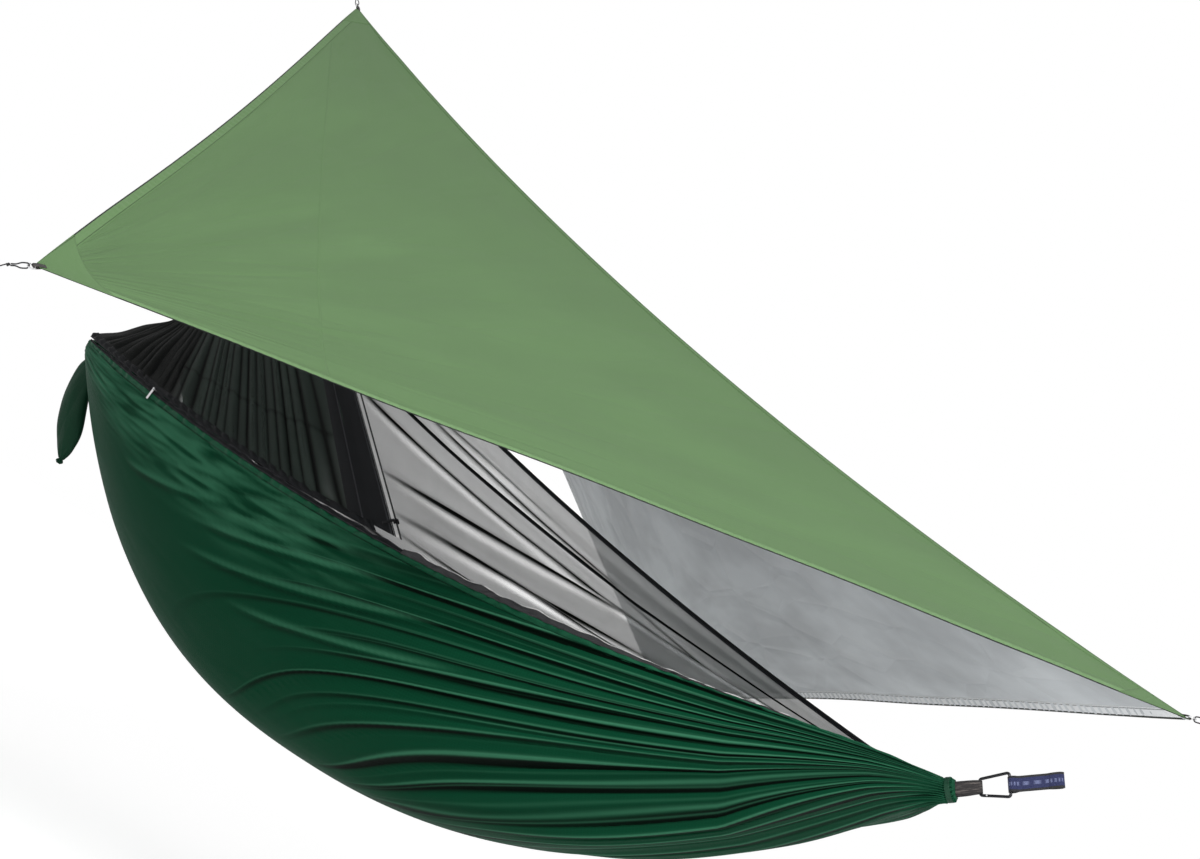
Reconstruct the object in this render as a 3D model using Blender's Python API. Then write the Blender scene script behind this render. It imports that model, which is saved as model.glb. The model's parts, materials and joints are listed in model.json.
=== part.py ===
"""Hammock tent: a gathered-end hammock with a zipped bug net, under a diamond-pitched rain fly.

The origin is the bearing face of the foot strap's outer loop, where the foot end is tied. +X runs
from the head end to the foot end, -Y is the side of the open net door, and +Z is up. Metres.
The head and foot ends are level. Most places below are measured from the point half way between
the two ends, which middle() moves into the model's frame.
"""

import math

import bmesh
import bpy
from mathutils import Matrix, Vector

# Clearances
seat_gap = 0.0003
tile_gap = 0.0004
swing_gap = 0.0005
cut_overrun = 0.002

# Hammock: the gathered ends and the fabric between them
head_reach = 1.230
foot_reach = 1.250
sag = 0.580
sag_power = 2.298
sag_lean_share = -0.047
belly_share = -0.138
rim_half_width = 0.363
rim_blunt_power = 0.385
rim_lean_share = 0.051
rim_drop = 0.126
rim_drop_power = 1.057
drop_lean_share = 0.241
fabric_thickness = 0.0020
fabric_stations = 17
fabric_columns = 32
fold_count = 8
fold_height = 0.011
fold_head_share = 0.30
fold_start = -0.55
fold_full = 0.75
neck_radius = 0.016
neck_wrap = math.radians(150)
neck_length = 0.016
neck_blend = 0.090
gathered_stations = 2
hem_width = 0.020
hem_thickness = 0.0024
hem_gap = 0.0010

# Gathering at each end
core_radius = 0.0144
core_length = 0.013
whipping_inner_radius = 0.0176
whipping_outer_radius = 0.0206
whipping_length = 0.011
whipping_ribs = 4
end_loop_width = 0.0200
end_loop_thickness = 0.0016
foot_loop_reach = 0.046
head_loop_reach = 0.050
loop_tail = 0.007

# Suspension directions in the XZ plane
hang_angle = math.radians(32)
head_droop_angle = math.radians(15)

# Carabiners: a bent-rod trapezoid with a sprung gate on one long side
rod_radius = 0.00275
carabiner_length = 0.0590
carabiner_narrow = 0.0345
carabiner_wide = 0.0490
carabiner_corner_radius = 0.0045
gate_radius = 0.0026
gate_start_share = 0.22
gate_end_share = 0.82
tongue_thickness = 0.0020
tongue_reach = 0.0025
shoulder_reach = 0.0042
gate_pin_radius = 0.0009
gate_pin_clearance = 0.00008
gate_pin_head_radius = 0.0016
gate_pin_head_height = 0.0006

# Foot strap: one webbing with a sewn loop at each end
strap_length = 0.094
strap_width = 0.028
strap_wall = 0.0015
strap_inner_half_opening = 0.0062
strap_outer_half_opening = 0.0040
strap_inner_loop = 0.0170
strap_outer_loop = 0.0300
strap_body_half_thickness = 0.0022

# Net: ridge tape from the head, over a peak, to the foot
peak_x = -0.800
peak_height = 0.455
ridge_head_x = -1.190
ridge_head_height = 0.074
ridge_foot_x = 1.130
ridge_foot_height = -0.012
ridge_foot_sag = 0.056
ridge_tape_width = 0.012
ridge_tape_thickness = 0.0024
net_thickness = 0.0012
net_top_side = 0.0045
zip_tape_height = 0.014
door_x = 0.190
door_band_width = 0.033
door_zip_width = 0.012
door_top_clear = 0.024
door_foot_clear = 0.022
pleat_count = 12
pleat_height = 0.012
pleat_rows = 6
pleat_top_clear = 0.060
net_fold_count = 4
net_fold_height = 0.009
net_columns = 16

# Zip sliders and pulls
slider_length = 0.011
slider_wall = 0.0012
slider_slot = 0.0020
slider_reach = 0.0085
slider_lip = 0.0024
slider_rest = 0.060
rim_slider_x = -0.700
pull_length = 0.024
pull_width = 0.008
pull_thickness = 0.0010
pull_eye_radius = 0.0017
bail_radius = 0.0009
bail_half_width = 0.0052
bail_height = 0.0040

# Lift line from the net's peak to the fly's ridge
peak_tab_width = 0.009
peak_tab_height = 0.016
peak_tab_half_opening = 0.0035
tab_thickness = 0.0012
lift_cord_radius = 0.0015
ridge_loop_width = 0.008
ridge_loop_height = 0.022
ridge_loop_half_opening = 0.0045
hook_rod_radius = 0.0014
hook_inner_radius = 0.0046
hook_shank = 0.016

# Rain fly: a square sheet pitched on its diagonal, corners measured from the middle of the hammock
fly_head_reach = 1.195
fly_head_height = 1.115
fly_foot_reach = 1.556
fly_foot_height = 0.291
fly_near_reach = 1.289
fly_near_shift = 0.009
fly_near_drop = 0.076
fly_far_reach = 1.306
fly_far_shift = 0.086
fly_far_drop = 0.005
fly_thickness = 0.0012
fly_ridge_sag = 0.093
fly_edge_cut = 0.016
fly_hem_width = 0.022
fly_ridge_tape_width = 0.026
fly_billow = 0.012
patch_side = 0.135
patch_tip_width = 0.016
fly_rows = 12
fly_columns = 20
wrinkle_height = 0.0050
wrinkle_reach = 0.62
wrinkle_count = 9

# Corner hardware of the fly
corner_tab_width = 0.0100
corner_tab_length = 0.0085
ring_rod_radius = 0.0014
ring_bar = 0.0166
ring_depth = 0.0110
ring_corner_radius = 0.0026
guy_radius = 0.0012
guy_bend_radius = 0.0048
guy_reach = 0.0250
guy_strand_offset = 0.0016
knot_length = 0.0085
knot_place_shares = (0, 0.12, 0.35, 0.62, 0.86, 1)
knot_swell_shares = (0.80, 0.93, 1, 0.96, 0.75, 0.36)
knot_radius = 0.0034
tail_length = 0.0090

# Stuff sack, hanging from the head loop and leaning towards the hammock
sack_side = -0.045
sack_axis = (
    (-1.246, -0.034, 0.0050, 0.0040),
    (-1.241, -0.072, 0.0300, 0.0110),
    (-1.214, -0.145, 0.0445, 0.0180),
    (-1.176, -0.215, 0.0480, 0.0190),
    (-1.150, -0.264, 0.0310, 0.0130),
    (-1.136, -0.296, 0.0085, 0.0060),
)
sack_rings = 13
sack_sides = 12
sack_hem_length = 0.013
sack_hem_swell_shares = (1, 1.1, 0.9, 0.45)
sack_cord_radius = 0.0013
sack_cord_seat = 0.028
sack_cord_sling = 0.003

fly_head = Vector((-fly_head_reach, 0, fly_head_height))
fly_foot = Vector((fly_foot_reach, 0, fly_foot_height))
fly_near = Vector((-fly_near_shift, -fly_near_reach, -fly_near_drop))
fly_far = Vector((-fly_far_shift, fly_far_reach, -fly_far_drop))

LEFT_SIDE, RIGHT_SIDE = -1, 1
Y_AXIS = Vector((0, 1, 0))
Z_AXIS = Vector((0, 0, 1))
foot_line = Vector((math.cos(hang_angle), 0, math.sin(hang_angle)))
foot_up = Vector((-math.sin(hang_angle), 0, math.cos(hang_angle)))
head_line = Vector((-math.cos(head_droop_angle), 0, -math.sin(head_droop_angle)))
head_up = Vector((-math.sin(head_droop_angle), 0, math.cos(head_droop_angle)))
bar_span = carabiner_length - 2 * rod_radius
suspension_length = foot_loop_reach + bar_span + strap_length
half_span = foot_reach
middle_point = -suspension_length * foot_line - Vector((foot_reach, 0, 0))


def middle(x, y, z):
    """A place measured from half way between the hammock's ends, in the model's frame."""
    return middle_point + Vector((x, y, z))


foot_neck = middle(foot_reach, 0, 0)
head_neck = middle(-head_reach, 0, 0)
first_station = (head_neck - head_line * neck_length - middle_point).x
last_station = (foot_neck - foot_line * neck_length - middle_point).x
stations = []
for station in range(fabric_stations):
    eased = (1 - math.cos(math.pi * station / (fabric_stations - 1))) / 2
    stations.append(first_station + (last_station - first_station) * eased)
sewn_stations = stations[gathered_stations:-gathered_stations]
net_head_x, net_foot_x = sewn_stations[0], sewn_stations[-1]
foot_bar = foot_neck + foot_loop_reach * foot_line
foot_wide_bar = foot_bar + bar_span * foot_line
head_bar = head_neck + head_loop_reach * head_line


def smooth(share):
    share = min(max(share, 0), 1)
    return share * share * (3 - 2 * share)


def mix(start, end, share):
    return start + (end - start) * share


def clear_scene():
    for old in list(bpy.data.objects):
        bpy.data.objects.remove(old, do_unlink=True)


def material(name, colour, roughness, metallic=0):
    made = bpy.data.materials.get(name)
    if made is None:
        made = bpy.data.materials.new(name)
        made.use_nodes = True
        shader = made.node_tree.nodes["Principled BSDF"]
        shader.inputs["Base Color"].default_value = (*colour, 1)
        shader.inputs["Roughness"].default_value = roughness
        shader.inputs["Metallic"].default_value = metallic
    return made


def hammock_cloth():
    return material("hammock_cloth", (0.006, 0.045, 0.022), 0.5)


def sack_cloth():
    return material("sack_cloth", (0.003, 0.030, 0.013), 0.55)


def dark_webbing():
    return material("dark_webbing", (0.012, 0.012, 0.014), 0.8)


def navy_webbing():
    return material("navy_webbing", (0.010, 0.016, 0.080), 0.75)


def net_mesh():
    return material("net_mesh", (0.020, 0.027, 0.024), 0.8)


def net_trim():
    return material("net_trim", (0.016, 0.016, 0.019), 0.7)


def zip_tape():
    return material("zip_tape", (0.300, 0.290, 0.290), 0.6)


def fly_cloth():
    return material("fly_cloth", (0.155, 0.265, 0.125), 0.55)


def fly_patch_cloth():
    return material("fly_patch", (0.140, 0.250, 0.110), 0.6)


def bright_steel():
    return material("bright_steel", (0.620, 0.620, 0.630), 0.3, 1)


def black_steel():
    return material("black_steel", (0.020, 0.020, 0.022), 0.35, 1)


def guy_cord():
    return material("guy_cord", (0.014, 0.014, 0.015), 0.8)


def add_object(name, data, finish):
    made = bpy.data.objects.new(name, data)
    bpy.context.scene.collection.objects.link(made)
    data.materials.append(finish)
    return made


def mesh_object(name, bm, finish, smooth_faces=True):
    bmesh.ops.recalc_face_normals(bm, faces=bm.faces)
    mesh = bpy.data.meshes.new(name)
    bm.to_mesh(mesh)
    bm.free()
    if smooth_faces:
        mesh.shade_smooth()
        mesh.set_sharp_from_angle(angle=math.radians(35))
    return add_object(name, mesh, finish)


def pivot_at(made, point):
    """Puts a moving piece's origin on its joint's axis, and leaves its shape where it is."""
    made.data.transform(Matrix.Translation(-point))
    made.location = point
    return made


def sheet(name, grid, thickness, finish):
    """A closed sheet through rows of points, half its thickness to each side."""
    rows, columns = len(grid), len(grid[0])
    bm = bmesh.new()
    verts = [[bm.verts.new(point) for point in row] for row in grid]
    for r in range(rows - 1):
        for c in range(columns - 1):
            bm.faces.new((verts[r][c], verts[r][c + 1], verts[r + 1][c + 1], verts[r + 1][c]))
    made = mesh_object(name, bm, finish)
    wall = made.modifiers.new("wall", "SOLIDIFY")
    wall.thickness = thickness
    wall.offset = 0
    return made


def slab(name, grid, thickness, finish):
    """A closed sheet whose walls stand straight up, so that pieces side by side in plan never meet."""
    rows, columns = len(grid), len(grid[0])
    drop = Vector((0, 0, thickness / 2))
    bm = bmesh.new()
    verts = [[bm.verts.new(point + drop) for point in row] for row in grid]
    for r in range(rows - 1):
        for c in range(columns - 1):
            bm.faces.new((verts[r][c], verts[r][c + 1], verts[r + 1][c + 1], verts[r + 1][c]))
    lower = bmesh.ops.extrude_face_region(bm, geom=bm.faces[:], use_keep_orig=True)["geom"]
    moved = [item for item in lower if isinstance(item, bmesh.types.BMVert)]
    bmesh.ops.translate(bm, verts=moved, vec=-2 * drop)
    return mesh_object(name, bm, finish)


def band(name, centres, across, normals, half_width, half_thickness, finish, closed=False):
    """A flat band of rectangular section along the centres."""
    bm = bmesh.new()
    rings = []
    for centre, side, normal in zip(centres, across, normals):
        wide, thin = side * half_width, normal * half_thickness
        corners = (wide + thin, -wide + thin, -wide - thin, wide - thin)
        rings.append([bm.verts.new(centre + corner) for corner in corners])
    pairs = list(zip(rings, rings[1:]))
    if closed:
        pairs.append((rings[-1], rings[0]))
    for first, second in pairs:
        for i in range(len(first)):
            j = (i + 1) % len(first)
            bm.faces.new((first[i], first[j], second[j], second[i]))
    if not closed:
        bm.faces.new(rings[0])
        bm.faces.new(reversed(rings[-1]))
    return mesh_object(name, bm, finish)


def rod(name, points, radius, finish, closed=False, detail=2, shares=None):
    """A round rod along the points; shares scale its radius point by point."""
    curve = bpy.data.curves.new(name, "CURVE")
    curve.dimensions = "3D"
    curve.bevel_depth = radius
    curve.bevel_resolution = detail
    curve.use_fill_caps = not closed
    spline = curve.splines.new("POLY")
    spline.points.add(len(points) - 1)
    for i, point in enumerate(points):
        spline.points[i].co = (*point, 1)
        spline.points[i].radius = shares[i] if shares else 1
    spline.use_cyclic_u = closed
    return add_object(name, curve, finish)


def as_mesh(made):
    """Turns a rod into a mesh of the same name, so that a Boolean can take it."""
    mesh = bpy.data.meshes.new_from_object(made.evaluated_get(bpy.context.evaluated_depsgraph_get()))
    name, finish = made.name, made.data.materials[0]
    bpy.data.objects.remove(made, do_unlink=True)
    bm = bmesh.new()
    bm.from_mesh(mesh)
    bmesh.ops.remove_doubles(bm, verts=bm.verts, dist=seat_gap / 100)
    return mesh_object(name, bm, finish)


def box_between(name, centre, axes, sizes, finish):
    """A box with its own axes; sizes are its full lengths along them."""
    bm = bmesh.new()
    bmesh.ops.create_cube(bm, size=1)
    turn = Matrix([list(axis) for axis in axes]).transposed().to_4x4()
    bmesh.ops.scale(bm, vec=Vector(sizes), verts=bm.verts)
    bmesh.ops.transform(bm, matrix=Matrix.Translation(centre) @ turn, verts=bm.verts)
    return mesh_object(name, bm, finish, smooth_faces=False)


def cylinder(name, start, end, radius, finish, sides=16):
    bm = bmesh.new()
    axis = end - start
    bmesh.ops.create_cone(
        bm, cap_ends=True, segments=sides, radius1=radius, radius2=radius, depth=axis.length
    )
    turn = axis.to_track_quat("Z", "Y").to_matrix().to_4x4()
    bmesh.ops.transform(bm, matrix=Matrix.Translation((start + end) / 2) @ turn, verts=bm.verts)
    return mesh_object(name, bm, finish)


def carve(made, *cutters):
    for cutter in cutters:
        cut = made.modifiers.new(cutter.name, "BOOLEAN")
        cut.operation = "DIFFERENCE"
        cut.object = cutter
        cutter.hide_render = True
        cutter.display_type = "WIRE"
    return made


def join(made, *others):
    for other in others:
        fuse = made.modifiers.new(other.name, "BOOLEAN")
        fuse.operation = "UNION"
        fuse.object = other
        other.hide_render = True
        other.display_type = "WIRE"
    return made


def arc(centre, first, second, radius, start, end, steps):
    """Points on an arc in the plane of the two unit vectors."""
    turns = [mix(start, end, i / steps) for i in range(steps + 1)]
    return [centre + radius * (math.cos(a) * first + math.sin(a) * second) for a in turns]


def rounded(points, radius, steps, closed=False):
    """A polyline with each corner replaced by an arc that starts radius from the corner's sides."""
    count = len(points)
    path = []
    for i, corner in enumerate(points):
        if not closed and i in (0, count - 1):
            path.append(corner.copy())
            continue
        back = (points[i - 1] - corner).normalized()
        ahead = (points[(i + 1) % count] - corner).normalized()
        reach = radius / math.tan(back.angle(ahead) / 2)
        start, end = corner + reach * back, corner + reach * ahead
        centre = corner + (back + ahead).normalized() * radius / math.sin(back.angle(ahead) / 2)
        for k in range(steps + 1):
            share = k / steps
            turned = (start - centre).normalized().slerp((end - centre).normalized(), share)
            path.append(centre + turned * radius)
    return path


def ring_band(name, centre, along, normal, wide, reach, half_opening, thickness, width, finish, steps=6):
    """A flat webbing loop: two straight runs joined by half turns. reach is between the half turns."""
    radius = half_opening + thickness / 2
    outer = centre + along * reach
    points = arc(outer, normal, along, radius, 0, math.pi, steps)
    points += arc(centre, -normal, -along, radius, 0, math.pi, steps)
    normals = arc(Vector(), normal, along, 1, 0, math.pi, steps)
    normals += arc(Vector(), -normal, -along, 1, 0, math.pi, steps)
    across = [wide] * len(points)
    return band(name, points, across, normals, width / 2, thickness / 2, finish, closed=True)


def neck_frame(x):
    """The gathered end nearest x: its end centre, the way out along it, and its upward direction."""
    if x < 0:
        return head_neck, head_line, head_up
    return foot_neck, foot_line, foot_up


def neck_share(x):
    """1 where the fabric is fully gathered, falling to 0 one blend length away."""
    end, out, _ = neck_frame(x)
    start = end - out * neck_length
    return 1 - smooth(abs(x - (start - middle_point).x) / neck_blend)


def neck_point(x, theta):
    end, out, up = neck_frame(x)
    turn = theta * neck_wrap
    ring = Y_AXIS * neck_radius * math.sin(turn) - up * neck_radius * math.cos(turn)
    return end - out * neck_length + ring


def rim_model(x, side):
    t = x / half_span
    opened = max(1 - t * t, 0)
    half = rim_half_width * opened**rim_blunt_power * (1 + rim_lean_share * t)
    drop = rim_drop * opened**rim_drop_power * (1 + drop_lean_share * t)
    return middle(x, side * half, -drop)


def rim(x, side, lower=0.0):
    """The top edge of the hem at x, or a point that much lower; side is -1 near and +1 far."""
    gathered = neck_share(x)
    return mix(rim_model(x, side), neck_point(x, side), gathered) - Z_AXIS * lower


def rim_chord(x, side, lower=0.0):
    """As rim, on the straight runs between the hem's stations, where every sewn edge lies."""
    for start, end in zip(stations, stations[1:]):
        if x <= end:
            break
    return mix(rim(start, side, lower), rim(end, side, lower), (x - start) / (end - start))


def shell(x, theta):
    """The hammock's fabric at x, with theta from -1 at the near hem to +1 at the far hem."""
    t = x / half_span
    gathered = neck_share(x)
    side = RIGHT_SIDE if theta > 0 else LEFT_SIDE
    edge = rim_model(x, side) - Z_AXIS * hem_width * (1 - gathered)
    bottom = -sag * (1 - abs(t) ** sag_power) * (1 + sag_lean_share * t)
    turn = theta * math.pi / 2
    half = abs(edge.y - middle_point.y)
    fullness = 1 + 2 * belly_share * math.cos(turn) ** 2 * abs(math.sin(turn))
    y = half * math.sin(turn) * fullness
    z = mix(bottom, (edge - middle_point).z, 1 - math.cos(turn))
    out = Vector((0, math.sin(turn), -math.cos(turn)))
    spread = smooth((t - fold_start) / (fold_full - fold_start))
    size = fold_height * mix(fold_head_share, 1, spread) * max(1 - t * t, 0) ** (1 / 2)
    wave = math.sin(math.pi * fold_count * (theta + 1))
    point = middle(x, y, z) + out * size * wave
    gap_drop = Z_AXIS * hem_gap * abs(theta) ** fabric_columns
    return mix(point, neck_point(x, theta), gathered) - gap_drop


def hammock_body():
    thetas = [mix(-1, 1, j / fabric_columns) for j in range(fabric_columns + 1)]
    rows = [[neck_point(-1, theta) + head_line * neck_length for theta in thetas]]
    rows += [[shell(x, theta) for theta in thetas] for x in stations]
    rows.append([neck_point(1, theta) + foot_line * neck_length for theta in thetas])
    return sheet("hammock_body", rows, fabric_thickness, hammock_cloth())


def spaced(start, end, steps):
    return [mix(start, end, i / steps) for i in range(steps + 1)]


def rim_strip(name, side, low, high, thickness, finish):
    """A strip that stands on the rim, from low to high above the hem's top edge."""
    rows = [[rim(x, side, -height) for x in sewn_stations] for height in (low, high)]
    return sheet(name, rows, thickness, finish)


def rim_hems():
    for name, side in (("near_rim_hem", LEFT_SIDE), ("far_rim_hem", RIGHT_SIDE)):
        rim_strip(name, side, -hem_width, 0, hem_thickness, net_trim())


def gathered_end(name, end, out, wide, thin, opening, reach, core_finish):
    """The core, whipping and webbing loop of one gathered end."""
    back = end - out * (core_length + seat_gap)
    core = cylinder(f"{name}_gather_core", back, end - out * seat_gap, core_radius, core_finish, 24)
    hole = (2 * (opening + end_loop_thickness + seat_gap), end_loop_width + 2 * seat_gap)
    through = core_length + 2 * cut_overrun
    middle_of_core = end - out * (seat_gap + core_length / 2)
    slot = box_between(
        f"{name}_core_slot", middle_of_core, (out, thin, wide), (through, *hole), core_finish
    )
    carve(core, slot)
    turns = 2 * whipping_ribs
    bm = bmesh.new()
    up = out.cross(Y_AXIS).normalized()
    start = end - out * (neck_length + whipping_length) / 2
    profile = []
    for i in range(turns + 1):
        bulge = abs(math.sin(math.pi * whipping_ribs * i / turns))
        radius = mix(mix(whipping_inner_radius, whipping_outer_radius, 1 / 2), whipping_outer_radius, bulge)
        profile.append(start + out * whipping_length * i / turns + up * radius)
    profile.append(start + out * whipping_length + up * whipping_inner_radius)
    profile.append(start + up * whipping_inner_radius)
    verts = [bm.verts.new(point) for point in profile]
    edges = [bm.edges.new((verts[i - 1], verts[i])) for i in range(len(verts))]
    bmesh.ops.spin(
        bm, geom=verts + edges, cent=end, axis=out, angle=2 * math.pi, steps=20, use_merge=True
    )
    bmesh.ops.remove_doubles(bm, verts=bm.verts, dist=seat_gap / 100)
    mesh_object(f"{name}_whipping", bm, hammock_cloth())
    radius = opening + end_loop_thickness / 2
    inner = end - out * (seat_gap + core_length + loop_tail - radius)
    outer = end + out * (reach + rod_radius + seat_gap - opening)
    ring_band(
        f"{name}_end_loop", inner, out, thin, wide, (outer - inner).length, opening,
        end_loop_thickness, end_loop_width, dark_webbing(),
    )


def carabiner(name, bar, along, across, normal, finish):
    """A closed trapezoid of bent rod. bar is the middle of its narrow bar, which lies across."""
    narrow = (carabiner_narrow - 2 * rod_radius) / 2
    wide = (carabiner_wide - 2 * rod_radius) / 2
    low_narrow, high_narrow = bar - across * narrow, bar + across * narrow
    low_wide = bar + along * bar_span - across * wide
    high_wide = bar + along * bar_span + across * wide
    side = (low_wide - low_narrow).normalized()
    side_length = (low_wide - low_narrow).length
    pin = low_narrow + side * side_length * gate_start_share
    nose = low_narrow + side * side_length * gate_end_share
    corners = [nose + side * seat_gap, low_wide, high_wide, high_narrow, low_narrow, pin + side * tongue_reach]
    body = as_mesh(rod(name, rounded(corners, carabiner_corner_radius, 5), rod_radius, finish))
    square = side.cross(normal)
    tongue_length = shoulder_reach + tongue_reach + cut_overrun
    tongue_centre = pin + side * (tongue_reach + cut_overrun - shoulder_reach) / 2
    cheek = rod_radius + cut_overrun - tongue_thickness / 2
    cutters = []
    for face in (LEFT_SIDE, RIGHT_SIDE):
        centre = tongue_centre + normal * face * (tongue_thickness + cheek) / 2
        sizes = (tongue_length, cheek, 4 * rod_radius)
        cutters.append(box_between(f"{name}_cheek{face}", centre, (side, normal, square), sizes, finish))
    reach = normal * (gate_radius + gate_pin_head_height + cut_overrun)
    bore = gate_pin_radius + gate_pin_clearance
    cutters.append(cylinder(f"{name}_bore", pin - reach, pin + reach, bore, finish, 16))
    carve(body, *cutters)

    gate = cylinder(f"{name}_gate_rod", pin - side * tongue_reach, nose, gate_radius, finish, 16)
    gate.name = name.replace("carabiner", "gate")
    slot_length = tongue_reach + shoulder_reach + cut_overrun
    slot_centre = pin + side * (shoulder_reach - tongue_reach - cut_overrun) / 2
    slot_sizes = (slot_length, tongue_thickness + 2 * seat_gap, 4 * gate_radius)
    slot = box_between(f"{name}_slot", slot_centre, (side, normal, square), slot_sizes, finish)
    gate_bore = cylinder(f"{name}_gate_bore", pin - reach, pin + reach, bore, finish, 16)
    carve(gate, slot, gate_bore)

    shank = gate_radius + seat_gap
    rivet = cylinder(f"{gate.name}_pin", pin - normal * shank, pin + normal * shank, gate_pin_radius, finish, 16)
    heads = []
    for face in (LEFT_SIDE, RIGHT_SIDE):
        inner = pin + normal * face * (shank - gate_pin_clearance)
        outer = inner + normal * face * (gate_pin_head_height + gate_pin_clearance)
        heads.append(cylinder(f"{name}_head{face}", inner, outer, gate_pin_head_radius, finish, 16))
    join(rivet, *heads)
    return body, gate, rivet, pin, square


def carabiners():
    foot = carabiner("foot_carabiner", foot_bar, foot_line, foot_up, Y_AXIS, black_steel())
    head = carabiner("head_carabiner", head_bar, -Z_AXIS, Y_AXIS, Vector((1, 0, 0)), black_steel())
    for body, gate, rivet, pin, _ in (foot, head):
        pivot_at(gate, pin)
    pivot_at(head[0], head_bar)
    pivot_at(head[2], head_bar)


def foot_strap():
    """Webbing with a loop round the carabiner's wide bar and a loop for the tree strap."""
    inner_end = -(rod_radius + swing_gap)
    finish = navy_webbing()
    spans = (
        (inner_end - strap_wall, strap_inner_loop, strap_inner_half_opening + strap_wall),
        (strap_inner_loop, strap_length - strap_outer_loop, strap_body_half_thickness),
        (strap_length - strap_outer_loop, strap_length + strap_wall, strap_outer_half_opening + strap_wall),
    )
    outline = []
    for start, end, half in spans:
        outline += [(start, half), (end, half)]
    bm = bmesh.new()
    upper = [foot_wide_bar + foot_line * a + Y_AXIS * y for a, y in outline]
    lower = [foot_wide_bar + foot_line * a - Y_AXIS * y for a, y in reversed(outline)]
    face = bm.faces.new([bm.verts.new(point - foot_up * strap_width / 2) for point in upper + lower])
    top = bmesh.ops.extrude_face_region(bm, geom=[face], use_keep_orig=True)["geom"]
    moved = [item for item in top if isinstance(item, bmesh.types.BMVert)]
    bmesh.ops.translate(bm, verts=moved, vec=foot_up * strap_width)
    strap = mesh_object("foot_strap", bm, finish, smooth_faces=False)
    holes = (
        ("strap_inner_eye", inner_end, strap_inner_loop - strap_wall, strap_inner_half_opening),
        ("strap_outer_eye", strap_length - strap_outer_loop + strap_wall, strap_length, strap_outer_half_opening),
    )
    through = strap_width + 2 * cut_overrun
    for name, start, end, half in holes:
        centre = foot_wide_bar + foot_line * (start + end) / 2
        sizes = (end - start, 2 * half, through)
        carve(strap, box_between(name, centre, (foot_line, Y_AXIS, foot_up), sizes, finish))


def ridge(x):
    """The middle of the net's ridge tape at x."""
    if x < peak_x:
        share = (x - ridge_head_x) / (peak_x - ridge_head_x)
        return middle(x, 0, mix(ridge_head_height, peak_height, share))
    share = (x - peak_x) / (ridge_foot_x - peak_x)
    height = mix(peak_height, ridge_foot_height, share) - 4 * ridge_foot_sag * share * (1 - share)
    return middle(x, 0, height)


def under_ridge(x, side):
    """Where a net panel's top edge is sewn: under the ridge tape, to one side."""
    drop = ridge_tape_thickness + net_thickness
    return ridge(x) + Y_AXIS * side * net_top_side - Z_AXIS * drop


def net_ridge_tape():
    stations = spaced(ridge_head_x, peak_x, 4)[:-1] + spaced(peak_x, ridge_foot_x, 18)
    centres = [ridge(x) for x in stations]
    normals = []
    for i in range(len(centres)):
        run = centres[min(i + 1, len(centres) - 1)] - centres[max(i - 1, 0)]
        normals.append(run.cross(Y_AXIS).normalized() * -1)
    across = [Y_AXIS] * len(centres)
    halves = (ridge_tape_width / 2, ridge_tape_thickness / 2)
    return band("net_ridge_tape", centres, across, normals, *halves, net_trim())


def net_far_panel():
    """The taut panel of the far side, with long folds that run together towards the foot."""
    rows = []
    levels = 4 * net_fold_count
    lean = Vector((0, 1, 1)).normalized()
    for i in range(levels + 1):
        v = i / levels
        row = []
        for j in range(net_columns + 1):
            x = mix(net_head_x, net_foot_x, j / net_columns)
            low, high = rim_chord(x, RIGHT_SIDE, -hem_gap), under_ridge(x, RIGHT_SIDE)
            wave = math.sin(2 * math.pi * net_fold_count * v)
            size = net_fold_height * (high - low).length / rim_half_width / (1 + 1 / 2)
            row.append(mix(low, high, v) + lean * wave * size * smooth(2 * j / net_columns))
        rows.append(row)
    return sheet("net_far_panel", rows, net_thickness, net_mesh())


door_foot = rim_chord(door_x, LEFT_SIDE, -zip_tape_height - tile_gap)
door_line = (door_foot - ridge(peak_x)).normalized()
door_length = (door_foot - ridge(peak_x)).length
door_side = (Vector((1, 0, 0)) - door_line * door_line.x).normalized()
door_out = door_line.cross(door_side).normalized()
rim_slope_share = door_side.z / -door_line.z


def door_point(inset, distance):
    """A point of the door's free edge: inset from it towards the head, distance down from the peak."""
    return ridge(peak_x) - door_side * inset + door_line * distance


def door_strip(name, start, end, thickness, steps, finish):
    rows = []
    for inset in (start, end):
        low = door_length - door_foot_clear - inset * rim_slope_share
        rows.append([door_point(inset, distance) for distance in spaced(door_top_clear, low, steps)])
    return sheet(name, rows, thickness, finish)


def net_door():
    """The stiff band and the zip half along the gathered panel's free edge."""
    door_strip("door_zip_tape", 0, door_zip_width, net_thickness, 8, zip_tape())
    start = door_zip_width + tile_gap
    door_strip("door_edge_band", start, start + door_band_width, hem_thickness, 8, net_trim())


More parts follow.
